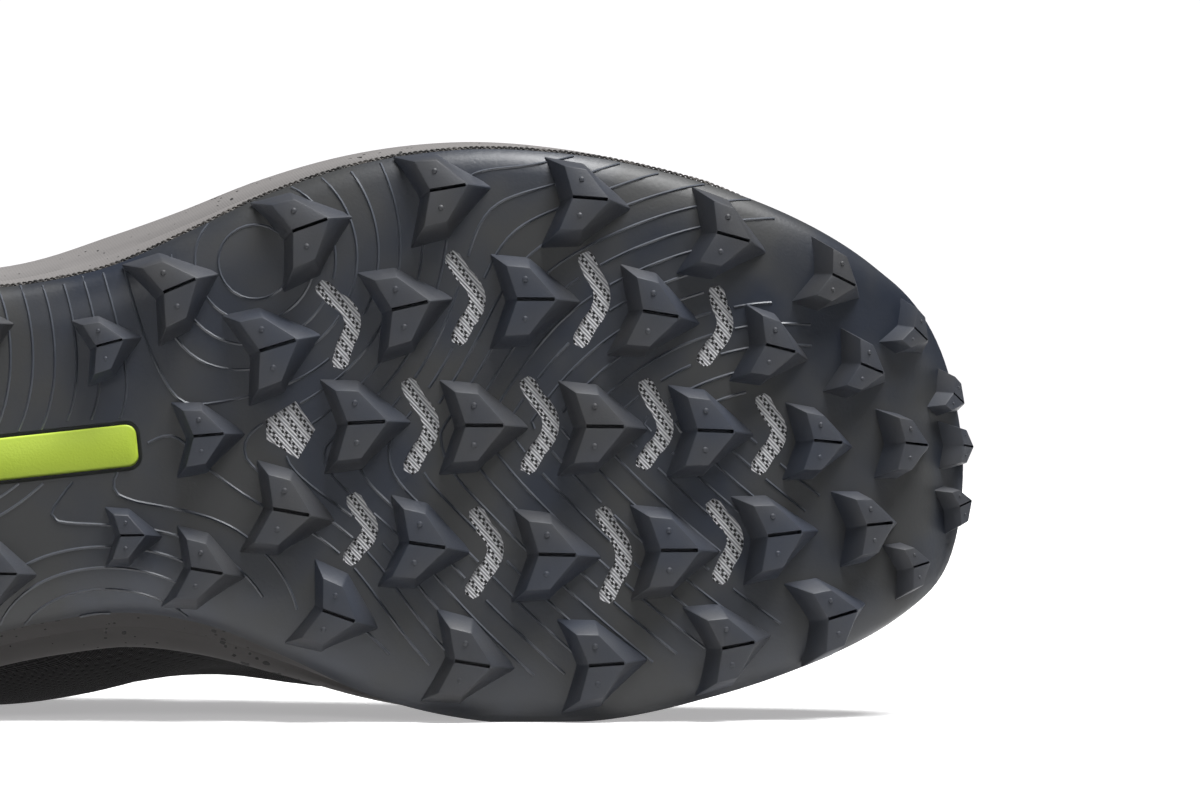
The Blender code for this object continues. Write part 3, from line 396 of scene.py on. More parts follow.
def upper_curve(turns, levels):
    """Outer face of the upper at turns round the plan and at shares of its height."""
    foot = ring_at(turns, flare_at(turns) - inset_at(turns), footbed_at(turns) + GAP)
    x = table_value(EDGE, 1, 1, LENGTH, turns)
    at, _, lateral, medial = columns(EDGE)[:4]
    y = around(at, -lateral * BALL_WIDTH, medial * BALL_WIDTH, turns)
    edge = np.column_stack([x, y, table_value(EDGE, 4, 4, COLLAR_HEIGHT, turns)])
    out = np.column_stack([plan_ring(turns)[1], np.zeros(len(turns))])
    reach = [table_value(EDGE, k, k, LAST_HEIGHT, turns)[:, None] for k in (5, 6, 7, 8)]
    shares, lean = columns(PLAN)[0], columns(PLAN)[7]
    arch = around(shares, 0 * lean, lean * BALL_WIDTH, turns)
    low = foot + out * (reach[0] + arch[:, None]) + UP * reach[1]
    high = edge + out * reach[2] - UP * reach[3]
    rows = []
    for t in levels:
        start = (1 - t) ** 3 * foot + 3 * t * (1 - t) ** 2 * low
        rows.append(start + 3 * t * t * (1 - t) * high + t ** 3 * edge)
    return np.stack(rows, axis=1)


def wall(turns, levels, depth=0.0):
    """Upper's face moved out by a depth."""
    levels = np.asarray(levels, float)
    fine = 1e-3
    face = upper_curve(turns, levels)
    ahead = upper_curve(turns + fine, levels) - upper_curve(turns - fine, levels)
    rise = upper_curve(turns, levels + fine) - upper_curve(turns, levels - fine)
    normal = np.cross(ahead, rise)
    normal /= np.linalg.norm(normal, axis=2, keepdims=True)
    return face + normal * np.reshape(depth, np.shape(depth) + (1,) * (3 - np.ndim(depth)))


# ---------------------------------------------------------------- modelling


def deselect():
    """Leave nothing selected and no mode open."""
    if bpy.context.object and bpy.context.object.mode != "OBJECT":
        bpy.ops.object.mode_set(mode="OBJECT")
    bpy.ops.object.select_all(action="DESELECT")


def pick(piece):
    """Select one piece alone."""
    deselect()
    piece.select_set(True)
    bpy.context.view_layer.objects.active = piece
    return piece


def edit(piece):
    """Open a piece for editing with all of it selected."""
    pick(piece)
    bpy.ops.object.mode_set(mode="EDIT")
    bpy.ops.mesh.select_all(action="SELECT")


def close():
    """Leave edit mode."""
    bpy.ops.object.mode_set(mode="OBJECT")


def move_points(piece, points):
    """Give a mesh's points their places."""
    piece.data.vertices.foreach_set("co", np.asarray(points, float).reshape(-1))
    piece.data.update()


def grid_piece(name, points):
    """Grid primitive laid on an array of points, with a UV map in millimetres."""
    deselect()
    rows, cols = points.shape[:2]
    bpy.ops.mesh.primitive_grid_add(x_subdivisions=cols - 1, y_subdivisions=rows - 1, size=1)
    piece = bpy.context.object
    piece.name = name
    move_points(piece, points)
    across = np.linalg.norm(np.diff(points, axis=1), axis=2)
    along = np.linalg.norm(np.diff(points, axis=0), axis=2)
    u = np.concatenate([np.zeros((rows, 1)), np.cumsum(across, axis=1)], axis=1) / MM
    v = np.concatenate([np.zeros((1, cols)), np.cumsum(along, axis=0)], axis=0) / MM
    flat = np.stack([u, v], axis=2).reshape(-1, 2)
    corners = np.zeros(len(piece.data.loops), int)
    piece.data.loops.foreach_get("vertex_index", corners)
    piece.data.uv_layers.active.data.foreach_set("uv", flat[corners].reshape(-1))
    return piece


def weld(piece, distance=0.002 * MM):
    """Join points that lie on each other and turn all faces outwards."""
    edit(piece)
    bpy.ops.mesh.remove_doubles(threshold=distance)
    bpy.ops.mesh.normals_make_consistent(inside=False)
    close()
    return piece


def apply_modifier(piece, kind, **settings):
    """Add a modifier and apply it."""
    pick(piece)
    modifier = piece.modifiers.new(kind.lower(), kind)
    for key, value in settings.items():
        setattr(modifier, key, value)
    bpy.ops.object.modifier_apply(modifier=modifier.name)
    return piece


def round_edges(piece, width, degrees=30):
    """Bevel a piece's sharp edges."""
    return apply_modifier(piece, "BEVEL", width=width, segments=2, limit_method="ANGLE",
                          angle_limit=math.radians(degrees))


def cut(piece, tool):
    """Take a tool's room out of a piece and remove the tool."""
    apply_modifier(piece, "BOOLEAN", object=tool, operation="DIFFERENCE", solver="EXACT")
    bpy.data.objects.remove(tool, do_unlink=True)
    return piece


def sized(piece, scale):
    """Give a new primitive its size and place for good."""
    piece.scale = scale
    bpy.ops.object.transform_apply(location=True, rotation=True, scale=True)
    return piece


def join(name, parts):
    """Several meshes as one piece."""
    deselect()
    for part in parts:
        part.select_set(True)
    bpy.context.view_layer.objects.active = parts[0]
    if len(parts) > 1:
        bpy.ops.object.join()
    parts[0].name = name
    return parts[0]


def outline_block(name, outline, low, high):
    """Upright block over an outline, between two heights."""
    deselect()
    bpy.ops.mesh.primitive_circle_add(vertices=len(outline), fill_type="NGON")
    piece = bpy.context.object
    piece.name = name
    move_points(piece, [(x, y, low) for x, y in outline])
    edit(piece)
    bpy.ops.mesh.extrude_region_move(TRANSFORM_OT_translate={"value": (0, 0, high - low)})
    bpy.ops.mesh.select_all(action="SELECT")
    bpy.ops.mesh.normals_make_consistent(inside=False)
    close()
    return piece


def tube(name, paths, radius, sides=4, closed=False):
    """Round cord along paths, made a mesh."""
    deselect()
    curve = bpy.data.curves.new(name, "CURVE")
    curve.dimensions = "3D"
    curve.bevel_depth = radius
    curve.bevel_resolution = max(0, sides // 2 - 2)
    curve.use_fill_caps = not closed
    for path in paths:
        line = curve.splines.new("POLY")
        line.points.add(len(path) - 1)
        line.points.foreach_set("co", [c for point in path for c in (*point, 1.0)])
        line.use_cyclic_u = closed
    piece = bpy.data.objects.new(name, curve)
    bpy.context.scene.collection.objects.link(piece)
    pick(piece)
    bpy.ops.object.convert(target="MESH")
    return bpy.context.object


def soften(piece, degrees=35):
    """Smooth shading with the sharp edges kept."""
    pick(piece)
    bpy.ops.object.shade_smooth_by_angle(angle=math.radians(degrees))
    return piece


def finish_piece(piece, slot, *materials, replaces=()):
    """Lay a piece down with the shoe, dress it and let it ride on the frame."""
    piece.data.transform(POSE)
    for point in piece.data.vertices:
        point.co.z = max(point.co.z, 0)
    piece.data.materials.clear()
    for finish in materials:
        piece.data.materials.append(finish)
    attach(piece, "root")
    if replaces:
        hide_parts(*replaces)
    return piece


# ---------------------------------------------------------------- finishes


def operation(kind, swapped=False):
    """Way to write one kind of Math node as a method or an operator of a wire."""

    def write(wire, *others):
        values = (wire, *others)
        return wire.math(kind, *(values[::-1] if swapped else values))

    return write


class Wire:
    """A socket of a material, with arithmetic on it."""

    def __init__(self, tree, socket):
        self.tree = tree
        self.socket = socket

    def math(self, kind, *values, clamp=False):
        """One Math node on values or wires."""
        node = self.tree.nodes.new("ShaderNodeMath")
        node.operation = kind
        node.use_clamp = clamp
        for slot, value in zip(node.inputs, values):
            if isinstance(value, Wire):
                self.tree.links.new(value.socket, slot)
            else:
                slot.default_value = value
        return Wire(self.tree, node.outputs[0])

    __add__ = __radd__ = operation("ADD")
    __sub__ = operation("SUBTRACT")
    __rsub__ = operation("SUBTRACT", swapped=True)
    __mul__ = __rmul__ = operation("MULTIPLY")
    __truediv__ = operation("DIVIDE")
    __lt__ = operation("LESS_THAN")
    __gt__ = operation("GREATER_THAN")
    sin = operation("SINE")
    fract = operation("FRACT")
    floor = operation("FLOOR")
    abs = operation("ABSOLUTE")
    root = operation("SQRT")
    greater = operation("MAXIMUM")

    def ramp(self, low, high):
        """0 below low and 1 above high, with a straight rise between."""
        return self.math("MULTIPLY", self - low, 1 / (high - low), clamp=True)


class Finish:
    """A material and the nodes that make it."""

    def __init__(self, name, roughness=0.6, **constants):
        self.material = bpy.data.materials.new(name)
        self.material.use_nodes = True
        self.tree = self.material.node_tree
        self.shader = self.tree.nodes["Principled BSDF"]
        self.shader.inputs["Roughness"].default_value = roughness
        for key, value in constants.items():
            self.shader.inputs[key.replace("_", " ")].default_value = value

    def node(self, kind, settings=None, **sockets):
        """One node with its settings and the values or wires of its sockets."""
        node = self.tree.nodes.new(kind)
        for key, value in (settings or {}).items():
            setattr(node, key, value)
        for key, value in sockets.items():
            socket = node.inputs[key.replace("_", " ")]
            if isinstance(value, Wire):
                self.tree.links.new(value.socket, socket)
            else:
                socket.default_value = value
        return node

    def wire(self, node, output):
        return Wire(self.tree, node.outputs[output])

    def place(self, kind="Object"):
        """Coordinates on the piece as three wires, in millimetres."""
        spot = self.wire(self.node("ShaderNodeTexCoord"), kind)
        parts = self.node("ShaderNodeSeparateXYZ", Vector=spot)
        scale = 1 / MM if kind == "Object" else 1
        return [self.wire(parts, axis) * scale for axis in "XYZ"]

    def spot(self, x, y, z):
        """Three wires as one place."""
        return self.wire(self.node("ShaderNodeCombineXYZ", X=x, Y=y, Z=z), "Vector")

    def noise(self, spot, size, detail=2.0):
        """Soft noise with features of a size in millimetres, 0 to 1."""
        node = self.node("ShaderNodeTexNoise", Vector=spot, Scale=1 / size, Detail=detail)
        return self.wire(node, "Fac")

    def cells(self, spot, size):
        """Distance to the middles of cells of a size in millimetres."""
        node = self.node("ShaderNodeTexVoronoi", Vector=spot, Scale=1 / size)
        return self.wire(node, "Distance")

    def mix(self, mask, low, high):
        """Colour between two colours or wires."""
        node = self.node("ShaderNodeMix", {"data_type": "RGBA"})
        sockets = (node.inputs[0], node.inputs[6], node.inputs[7])
        for socket, value in zip(sockets, (mask, low, high)):
            if isinstance(value, Wire):
                self.tree.links.new(value.socket, socket)
            else:
                socket.default_value = value if isinstance(value, float) else (*value, 1)
        return Wire(self.tree, node.outputs[2])

    def paint(self, **sockets):
        """Feed the shader's sockets."""
        for key, value in sockets.items():
            self.tree.links.new(value.socket, self.shader.inputs[key.replace("_", " ")])

    def relief(self, height, depth):
        """Bump from a height of 0 to 1 that stands for a depth in metres."""
        node = self.node("ShaderNodeBump", Height=height, Distance=depth, Strength=1.0)
        self.tree.links.new(node.outputs[0], self.shader.inputs["Normal"])


def srgb(red, green, blue):
    """Display colour of 0 to 255 as a linear colour."""
    values = [c / 255 for c in (red, green, blue)]
    return tuple(c / 12.92 if c <= 0.04045 else ((c + 0.055) / 1.055) ** 2.4 for c in values)


def moulded_finish(name, dark, light, cloud, rough, ramp=None, grain=None, depth=0.0, **constants):
    """Moulded surface: two colours in soft clouds, over a fine grain.

    Cloud is its size and detail, ramp the values that it is sharpened between, and rough
    the base and what cloud and grain add to it.
    """
    finish = Finish(name, rough[0], **constants)
    spot = finish.spot(*finish.place())
    clouds = finish.noise(spot, *cloud)
    if ramp:
        clouds = clouds.ramp(*ramp)
    roughness = rough[0] + rough[1] * clouds
    if grain:
        grains = finish.noise(spot, grain)
        roughness = roughness + rough[2] * grains
        finish.relief(grains, depth)
    finish.paint(Base_Color=finish.mix(clouds, dark, light), Roughness=roughness)
    return finish.material


def plate_finish():
    """Light yarns laid aslant, with rows of dark gaps between them, glowing faintly as painted
    light.
    """
    # The plate's emission is painted light: the weave glows faintly though it is no lamp.
    finish = Finish("woven_plate_cloth_painted_glow", 0.5, Emission_Strength=0.16)
    x, _, z = finish.place()
    turn = math.radians(-57)
    along = math.cos(turn) * x + math.sin(turn) * z
    across = math.cos(turn) * z - math.sin(turn) * x
    stripe = (across / 2.1).fract()
    step = (along / 1.30 + 0.5 * (stripe > 0.22)).fract()
    dot = (step < 0.50) * (stripe < 0.45)
    slant = math.radians(-46)
    pick = math.cos(slant) * z - math.sin(slant) * x
    yarn = (pick * (2 * math.pi / 0.56)).sin() * 0.5 + 0.5
    light = finish.mix(yarn, srgb(130, 130, 134), srgb(218, 218, 221))
    colour = finish.mix(dot, light, srgb(8, 9, 11))
    # The yarn colour also feeds the emission, so the light yarns glow as painted light.
    finish.paint(Base_Color=colour, Emission_Color=colour, Roughness=0.42 + 0.2 * dot)
    finish.relief(yarn * (1 - dot), 0.12 * MM)
    return finish.material


def foam_finish():
    """Warm grey foam with dark flecks, some in clusters, and a faint slanting hatch."""
    finish = Finish("speckled_foam", 0.7)
    x, y, z = finish.place()
    spot = finish.spot(x, y, z)
    warp = finish.noise(spot, 1.6, 3.0)
    crowd = finish.noise(spot, 14, 2.0).ramp(0.44, 0.56)
    large = (finish.cells(spot, 4.2) + 0.42 * warp) < 0.45 * crowd
    small = (finish.cells(spot, 1.9) + 0.30 * warp) < 0.20 + 0.14 * crowd
    speck = large.greater(small)
    hatch = ((x + z) * (2 * math.pi / 0.7)).sin() * 0.5 + 0.5
    tone = finish.noise(spot, 30, 2.0)
    base = finish.mix(tone, srgb(116, 113, 112), srgb(129, 126, 125))
    finish.paint(Base_Color=finish.mix(speck, base, srgb(24, 23, 23)))
    finish.relief(hatch, 0.015 * MM)
    return finish.material


def knit_finish(name, dark, light, size, open_share=0.30, sheen=0.10):
    """Knitted mesh: staggered open holes between rounded yarn rows."""
    finish = Finish(name, 0.85, Sheen_Weight=sheen, Sheen_Roughness=0.5, Specular_IOR_Level=0.3)
    u, v, _ = finish.place("UV")
    row = v / size
    shift = (row.floor() * 0.5).fract()
    side = (u / (size * 1.25) + shift).fract() - 0.5
    rise = row.fract() - 0.5
    reach = (side * side + rise * rise).root()
    hole = 1 - reach.ramp(open_share * 0.55, open_share)
    yarn = ((u + 2 * v) * (2 * math.pi / (size * 0.42))).sin() * 0.5 + 0.5
    cloud = finish.noise(finish.spot(u, v, 0.0), 9, 2.0)
    cloth = finish.mix(yarn * 0.6 + cloud * 0.4, dark, light)
    finish.paint(Base_Color=finish.mix(hole, cloth, tuple(c * 0.3 for c in dark)),
                 Roughness=0.78 + 0.15 * yarn)
    finish.relief(yarn * 0.25 + (1 - hole) * 0.75, 0.35 * MM)
    return finish.material


def film_finish(name, colour, roughness):
    """Fused film with a fine leathery grain."""
    finish = Finish(name, roughness, Specular_IOR_Level=0.5)
    spot = finish.spot(*finish.place())
    grain = finish.cells(spot, 0.9)
    cloud = finish.noise(spot, 16, 2.0)
    finish.paint(Base_Color=finish.mix(cloud, colour, tuple(c * 1.5 for c in colour)),
                 Roughness=roughness + 0.12 * cloud)
    finish.relief(grain, 0.06 * MM)
    return finish.material


def lace_finish():
    """Flat braid with slanting picks on both halves."""
    finish = Finish("lace_braid", 0.85, Sheen_Weight=0.3)
    u, v, _ = finish.place("UV")
    slant = ((u - 3.0).abs() * 1.2 + v) * (2 * math.pi / 0.9)
    pick_up = slant.sin() * 0.5 + 0.5
    finish.paint(Base_Color=finish.mix(pick_up, srgb(24, 24, 26), srgb(62, 63, 66)))
    finish.relief(pick_up, 0.16 * MM)
    return finish.material


def thread_finish():
    """Bright-edged sewing thread."""
    finish = Finish("sewing_thread", 0.7)
    x, y, z = finish.place()
    twist = ((x + y + z) * (2 * math.pi / 0.35)).sin() * 0.5 + 0.5
    finish.paint(Base_Color=finish.mix(twist, srgb(58, 60, 64), srgb(112, 114, 118)))
    finish.relief(twist, 0.06 * MM)
    return finish.material


# ---------------------------------------------------------------- sole


def plan_point(along, across):
    """Place in plan of two shares, across counted towards the lateral side."""
    return Vector((along * LENGTH, -across * BALL_WIDTH))


def window_outline(row):
    """Bent slot with round ends round the three points of a window's row."""
    start, bend, end = [plan_point(row[k], row[k + 1]) for k in (0, 2, 4)]
    before = bend + (start - bend) * 0.60
    after = bend + (end - bend) * 0.60
    knee = bend + (bend - (before + after) / 2) * 0.8
    turn = [before * (1 - t) ** 2 + knee * 2 * t * (1 - t) + after * t * t
            for t in np.linspace(0, 1, 9)]
    middle = [start, (start + before) / 2, *turn, (after + end) / 2, end]
    half = WINDOW_WIDTH / 2
    left = []
    right = []
    for k, point in enumerate(middle):
        ahead = (middle[min(k + 1, len(middle) - 1)] - middle[max(k - 1, 0)]).normalized()
        side = Vector((ahead.y, -ahead.x))
        left.append(point + side * half)
        right.append(point - side * half)
    caps = []
    for tip, before in ((middle[-1], middle[-2]), (middle[0], middle[1])):
        ahead = (tip - before).normalized() * half
        side = Vector((ahead.y, -ahead.x)) * 0.6
        caps.append([tip + ahead * 0.75 + side, tip + ahead * 0.75 - side])
    return [tuple(p) for p in left + caps[0] + right[::-1] + caps[1]]


def window_outlines():
    """Outlines of all windows, the shield's last."""
    slots = [window_outline(row) for row in WINDOWS]
    return slots + [[tuple(plan_point(*point)) for point in SHIELD]]


def badge_outline(clearance):
    """Bar with round corners, turned as the badge lies in the shank."""
    front = plan_point(BADGE_FRONT, BADGE_SIDE)
    ahead = Vector((math.cos(BADGE_TURN), -math.sin(BADGE_TURN)))
    side = Vector((-ahead.y, ahead.x))
    half = BADGE_WIDTH / 2 + clearance
    corner = BADGE_CORNER + clearance
    tip = clearance - corner
    tail = -BADGE_LENGTH - tip
    flank = half - corner
    centres = ((tip, flank), (tail, flank), (tail, -flank), (tip, -flank))
    outline = []
    for quarter, (along, across) in enumerate(centres):
        for step in range(7):
            bend = (quarter + step / 6) * math.pi / 2
            spot = front + ahead * (along + corner * math.cos(bend))
            outline.append(tuple(spot + side * (across + corner * math.sin(bend))))
    return outline


def make_sheet():
    """Rubber sheet with its windows and the badge's pocket."""
    sheet = grid_piece("rubber_sheet", SHEET)
    apply_modifier(sheet, "SOLIDIFY", thickness=RUBBER, offset=-1, use_even_offset=True)
    round_edges(sheet, 0.8 * MM, 60)
    for outline in window_outlines():
        cut(sheet, outline_block("cutter", outline, 0, LUG_HEIGHT + TOE_SPRING))
    pocket = LUG_HEIGHT + BADGE_SEAT + GAP
    cut(sheet, outline_block("cutter", badge_outline(BADGE_CLEARANCE), 0, pocket))
    return soften(sheet, 30)


# Outline of a lug, in shares of its length and of half its width: base and top, each
# along and across, from the nose over the upper side to the notch and back
LUG = (
    (0.640, 0.00, 0.369, 0.00),
    (0.040, 0.93, 0.050, 0.66),
    (-0.411, 1.00, -0.225, 0.70),
    (-0.226, 0.00, -0.092, 0.00),
    (-0.411, -1.00, -0.238, -0.77),
    (0.040, -0.93, 0.050, -0.74),
)
SIPE = (-1.6 * MM, 5.7 * MM, 0.75 * MM, 2.4 * MM)
PIP = (3.9 * MM, 0.62 * MM)

# The small lugs of the toe are lower
LOW_LUG = (0.60, 0.75)


def make_lug():
    """One lug, standing on z = 0: arrow head, slot down its middle and two pips."""
    half = LUG_WIDTH / 2
    low = [(row[0] * LUG_LENGTH, row[1] * half) for row in LUG]
    high = [(row[2] * LUG_LENGTH, row[3] * half) for row in LUG]
    sunk = -LUG_ROOT / LUG_HEIGHT
    root = [(a[0] + (b[0] - a[0]) * sunk, a[1] + (b[1] - a[1]) * sunk) for a, b in zip(low, high)]
    lug = outline_block("lug", root, -LUG_ROOT, LUG_HEIGHT)
    for point in lug.data.vertices:
        if point.co.z > 0:
            nearest = min(range(len(root)), key=lambda k: (point.co.xy - Vector(root[k])).length)
            point.co.xy = high[nearest]
    for line in lug.data.edges:
        ends = [lug.data.vertices[k].co.z for k in line.vertices]
        line.select = max(ends) > 0
    for face in lug.data.polygons:
        face.select = False
    bpy.context.view_layer.objects.active = lug
    bpy.ops.object.mode_set(mode="EDIT")
    bpy.context.tool_settings.mesh_select_mode = (False, True, False)
    bpy.ops.mesh.bevel(offset=0.35 * MM, segments=2, affect="EDGES", clamp_overlap=True)
    close()
    bpy.context.tool_settings.mesh_select_mode = (True, False, False)
    back, front, width, depth = SIPE
    deselect()
    middle = ((back + front) / 2, 0, LUG_HEIGHT - depth / 2 + 0.5 * MM)
    bpy.ops.mesh.primitive_cube_add(size=1, location=middle)
    cut(lug, sized(bpy.context.object, (front - back, width, depth + 1 * MM)))
    pips = []
    across, radius = PIP
    for side in (-1, 1):
        deselect()
        bpy.ops.mesh.primitive_uv_sphere_add(segments=10, ring_count=6, radius=radius,
                                             location=(0, side * across, LUG_HEIGHT - 0.05 * MM))
        pips.append(sized(bpy.context.object, (1, 1, 0.55)))
    return join("lug", [lug, *pips])


def surface_probe():
    """Search tree of the rubber's outer face on the upright shoe."""
    rows, cols = SHEET.shape[:2]
    faces = [(i * cols + j, (i + 1) * cols + j, (i + 1) * cols + j + 1, i * cols + j + 1)
             for i in range(rows - 1) for j in range(cols - 1)]
    return BVHTree.FromPolygons([tuple(p) for p in SHEET.reshape(-1, 3)], faces)


PROBE = surface_probe()


def on_tread(x, y):
    """Point of the rubber's outer face below a place in plan, and the way out of it."""
    spot, normal, _, _ = PROBE.ray_cast(Vector((x, y, -LENGTH)), Vector((0, 0, 1)))
    if spot is None:
        return None, None
    return spot, -normal if normal.z > 0 else normal


def lug_place(along, across, turn, size):
    """Foot of a lug on the tread and its directions: ahead, aside and out."""
    spot, out = on_tread(along * LENGTH, -across * BALL_WIDTH)
    heading = Vector((math.cos(math.radians(turn)), -math.sin(math.radians(turn)), 0))
    forward = (heading - out * heading.dot(out)).normalized()
    side = out.cross(forward)
    tall = LOW_LUG[1] if size < LOW_LUG[0] else 1
    return spot, Matrix((forward * size, side * size, out * tall)).transposed()


def make_lugs():
    """Copies of the lug, each with its own mesh, square to the rubber where it stands."""
    pattern = make_lug()
    copies = []
    for row in LUGS:
        spot, turned = lug_place(*row)
        deselect()
        pattern.select_set(True)
        bpy.context.view_layer.objects.active = pattern
        bpy.ops.object.duplicate()
        copy = bpy.context.object
        copy.data.transform(Matrix.Translation(spot) @ turned.to_4x4())
        copies.append(copy)
    bpy.data.objects.remove(pattern, do_unlink=True)
    return soften(join("lugs", copies), 25)


# Contour lines of the rubber, in millimetres from the heel and towards the lateral side:
# rings round a smooth pad, a fan in the shank, arches at the waist, rings at the heel,
# and the two centres whose arcs meet as chevrons under the forefoot
PAD_CENTRE = (163.7, 41.6)
PAD_RADIUS = 7.4
FAN_CENTRE = (-24.6, 37.5)
ARCH_CENTRE = (128.0, -54.0)
HEEL_CENTRE = (44.0, 4.0)
CHEVRON_CENTRES = ((266.0, -29.0), (400.0, 150.0))
CHEVRON_REACH = (75.2, 245.9)
RIB_SPACING = 4.2
RIB_RADIUS = 0.30 * MM
RIB_STEP = 1.5 * MM
RIB_MARGIN = 0.5 * MM
SMOOTH_EDGE = 9 * MM
SMOOTH_TOE = 264 * MM
TOE_WAVE = 9 * MM
TOE_WAVES = 210


def contour_field(x, y):
    """Height whose level lines the ribs follow: four patterns that fade into each other."""
    along = x / MM
    across = -y / MM

    def reach(centre):
        return np.hypot(along - centre[0], across - centre[1])

    def share(centre, long, wide):
        return np.exp(-((along - centre[0]) / long) ** 2 - ((across - centre[1]) / wide) ** 2)

    arcs = [reach(centre) - far for centre, far in zip(CHEVRON_CENTRES, CHEVRON_REACH)]
    chevrons = 50.6 - np.maximum(*arcs)
    patterns = (
        (0.05, chevrons),
        (share(PAD_CENTRE, 26, 26), reach(PAD_CENTRE) - PAD_RADIUS),
        (share((112, 24), 26, 22), 185.6 - reach(FAN_CENTRE)),
        (share((134, -24), 24, 18), 70.0 - reach(ARCH_CENTRE)),
        (share(HEEL_CENTRE, 34, 40), reach(HEEL_CENTRE)),
    )
    weight = sum(pattern[0] for pattern in patterns)
    return sum(pattern[0] * pattern[1] for pattern in patterns) / weight


def level_lines(values, step):
    """Level lines of a grid of values as chains of grid places."""
    chains = []
    for level in np.arange(0, values.max(), step):
        links = {}
        rows, cols = values.shape
        above = values > level
        mixed = (above[:-1, :-1] != above[1:, :-1]) | (above[:-1, :-1] != above[:-1, 1:])
        mixed |= above[:-1, :-1] != above[1:, 1:]
        for i, j in zip(*np.nonzero(mixed)):
            sides = (((i, j), (i + 1, j)), ((i + 1, j), (i + 1, j + 1)),
                     ((i, j + 1), (i + 1, j + 1)), ((i, j), (i, j + 1)))
            ends = [side for side in sides if above[side[0]] != above[side[1]]]
            if len(ends) == 2:
                links.setdefault(ends[0], []).append(ends[1])
                links.setdefault(ends[1], []).append(ends[0])
        while links:
            loose = [key for key, found in links.items() if len(found) == 1]
            key = loose[0] if loose else next(iter(links))
            chain = []
            while key in links:
                nexts = links.pop(key)
                a, b = key
                t = (level - values[a]) / (values[b] - values[a])
                chain.append((a[0] + t * (b[0] - a[0]), a[1] + t * (b[1] - a[1])))
                start = chain[0]
                key = next((n for n in nexts if n in links), None)
            if not loose:
                chain.append(start)
            chains.append(chain)
    return chains


def inside(outline, x, y):
    """Whether a place lies inside a closed outline."""
    found = False
    for (ax, ay), (bx, by) in zip(outline, outline[1:] + outline[:1]):
        if (ay > y) != (by > y) and x < (bx - ax) * (y - ay) / (by - ay) + ax:
            found = not found
    return found


def medial_edge(x):
    """Medial edge of the rubber in plan at a place along the shoe."""
    at, width, _, medial = columns(PLAN)[:4]
    turn = np.array([float(angle(np.clip(x / LENGTH, 0, 1)))])
    return float(smooth(angle(at), medial * width, turn)[0])


def make_ribs():
    """Fine raised lines that run over the rubber like the contours of a map."""
    x = np.arange(0, LENGTH, RIB_STEP)
    y = np.arange(-0.58 * BALL_WIDTH, 0.5 * BALL_WIDTH, RIB_STEP)
    values = contour_field(*np.meshgrid(x, y, indexing="ij"))
    gaps = window_outlines() + [badge_outline(BADGE_CLEARANCE)]
    boxes = [(*np.min(gap, axis=0) - RIB_MARGIN, *np.max(gap, axis=0) + RIB_MARGIN) for gap in gaps]

    def in_gap(px, py):
        return any(box[0] < px < box[2] and box[1] < py < box[3] and inside(gap, px, py)
                   for box, gap in zip(boxes, gaps))

    def in_smooth_part(px, py):
        beside = px > 0.5 * LENGTH and py > medial_edge(px) - SMOOTH_EDGE
        return beside or px > SMOOTH_TOE + TOE_WAVE * math.sin(TOE_WAVES * py)

    paths = []
    for chain in level_lines(values, RIB_SPACING):
        path = []
        for i, j in chain:
            px = i * RIB_STEP
            py = y[0] + j * RIB_STEP
            spot, _ = on_tread(px, py)
            if spot is not None and not in_smooth_part(px, py) and not in_gap(px, py):
                path.append(tuple(spot))
                continue
            paths.append(path)
            path = []
        paths.append(path)
    paths = [path for path in paths if len(path) > 3]
    return soften(tube("contour_ribs", paths, RIB_RADIUS), 60)


def make_weave():
    """Woven plate, flush in the windows of the rubber."""
    rows = np.nonzero((ROW_SHARES >= PLATE_ROWS[0]) & (ROW_SHARES <= PLATE_ROWS[1]))[0]
    cols = slice(round(PLATE_COLS[0] * (COLS - 1)), round(PLATE_COLS[1] * (COLS - 1)) + 1)
    block = slice(rows[0], rows[-1] + 1), cols
    weave = grid_piece("woven_plate", (SHEET + SHEET_NORMALS * WEAVE_DEPTH)[block])
    apply_modifier(weave, "SOLIDIFY", thickness=PLATE, offset=-1)
    return soften(weave, 40)


def make_badge():
    """Lime bar with rounded upper edges, plain on its face."""
    low = LUG_HEIGHT - BADGE_PROUD
    badge = outline_block("lime_bar", badge_outline(0), low, LUG_HEIGHT + BADGE_SEAT)
    edit(badge)
    bpy.ops.mesh.bevel(offset=0.45 * MM, segments=3, affect="EDGES")
    close()
    return soften(badge, 50)


def wall_line(turns, levels, depth):
    """Line over the upper that has its own level at every turn."""
    return np.stack([wall(turns[k:k + 1], [levels[k]], depth)[0, 0] for k in range(len(turns))])


def rim_height(turns):
    """Height of the midsole's rim at turns."""
    return footbed_at(turns) + table_value(HEIGHTS, 4, 5, CUP_RISE, turns)


def rim_level(turns, margin):
    """Level of the wall that lies a margin above the midsole's rim."""
    levels = np.linspace(0, 0.5, 40)
    heights = upper_curve(turns, levels)[:, :, 2]
    rims = rim_height(turns) + margin
    return np.array([np.interp(rim, line, levels) for rim, line in zip(rims, heights)])


def within(values, ends, margin):
    """Which values lie between two ends, with a margin."""
    return (values > ends[0] - margin) & (values < ends[1] + margin)


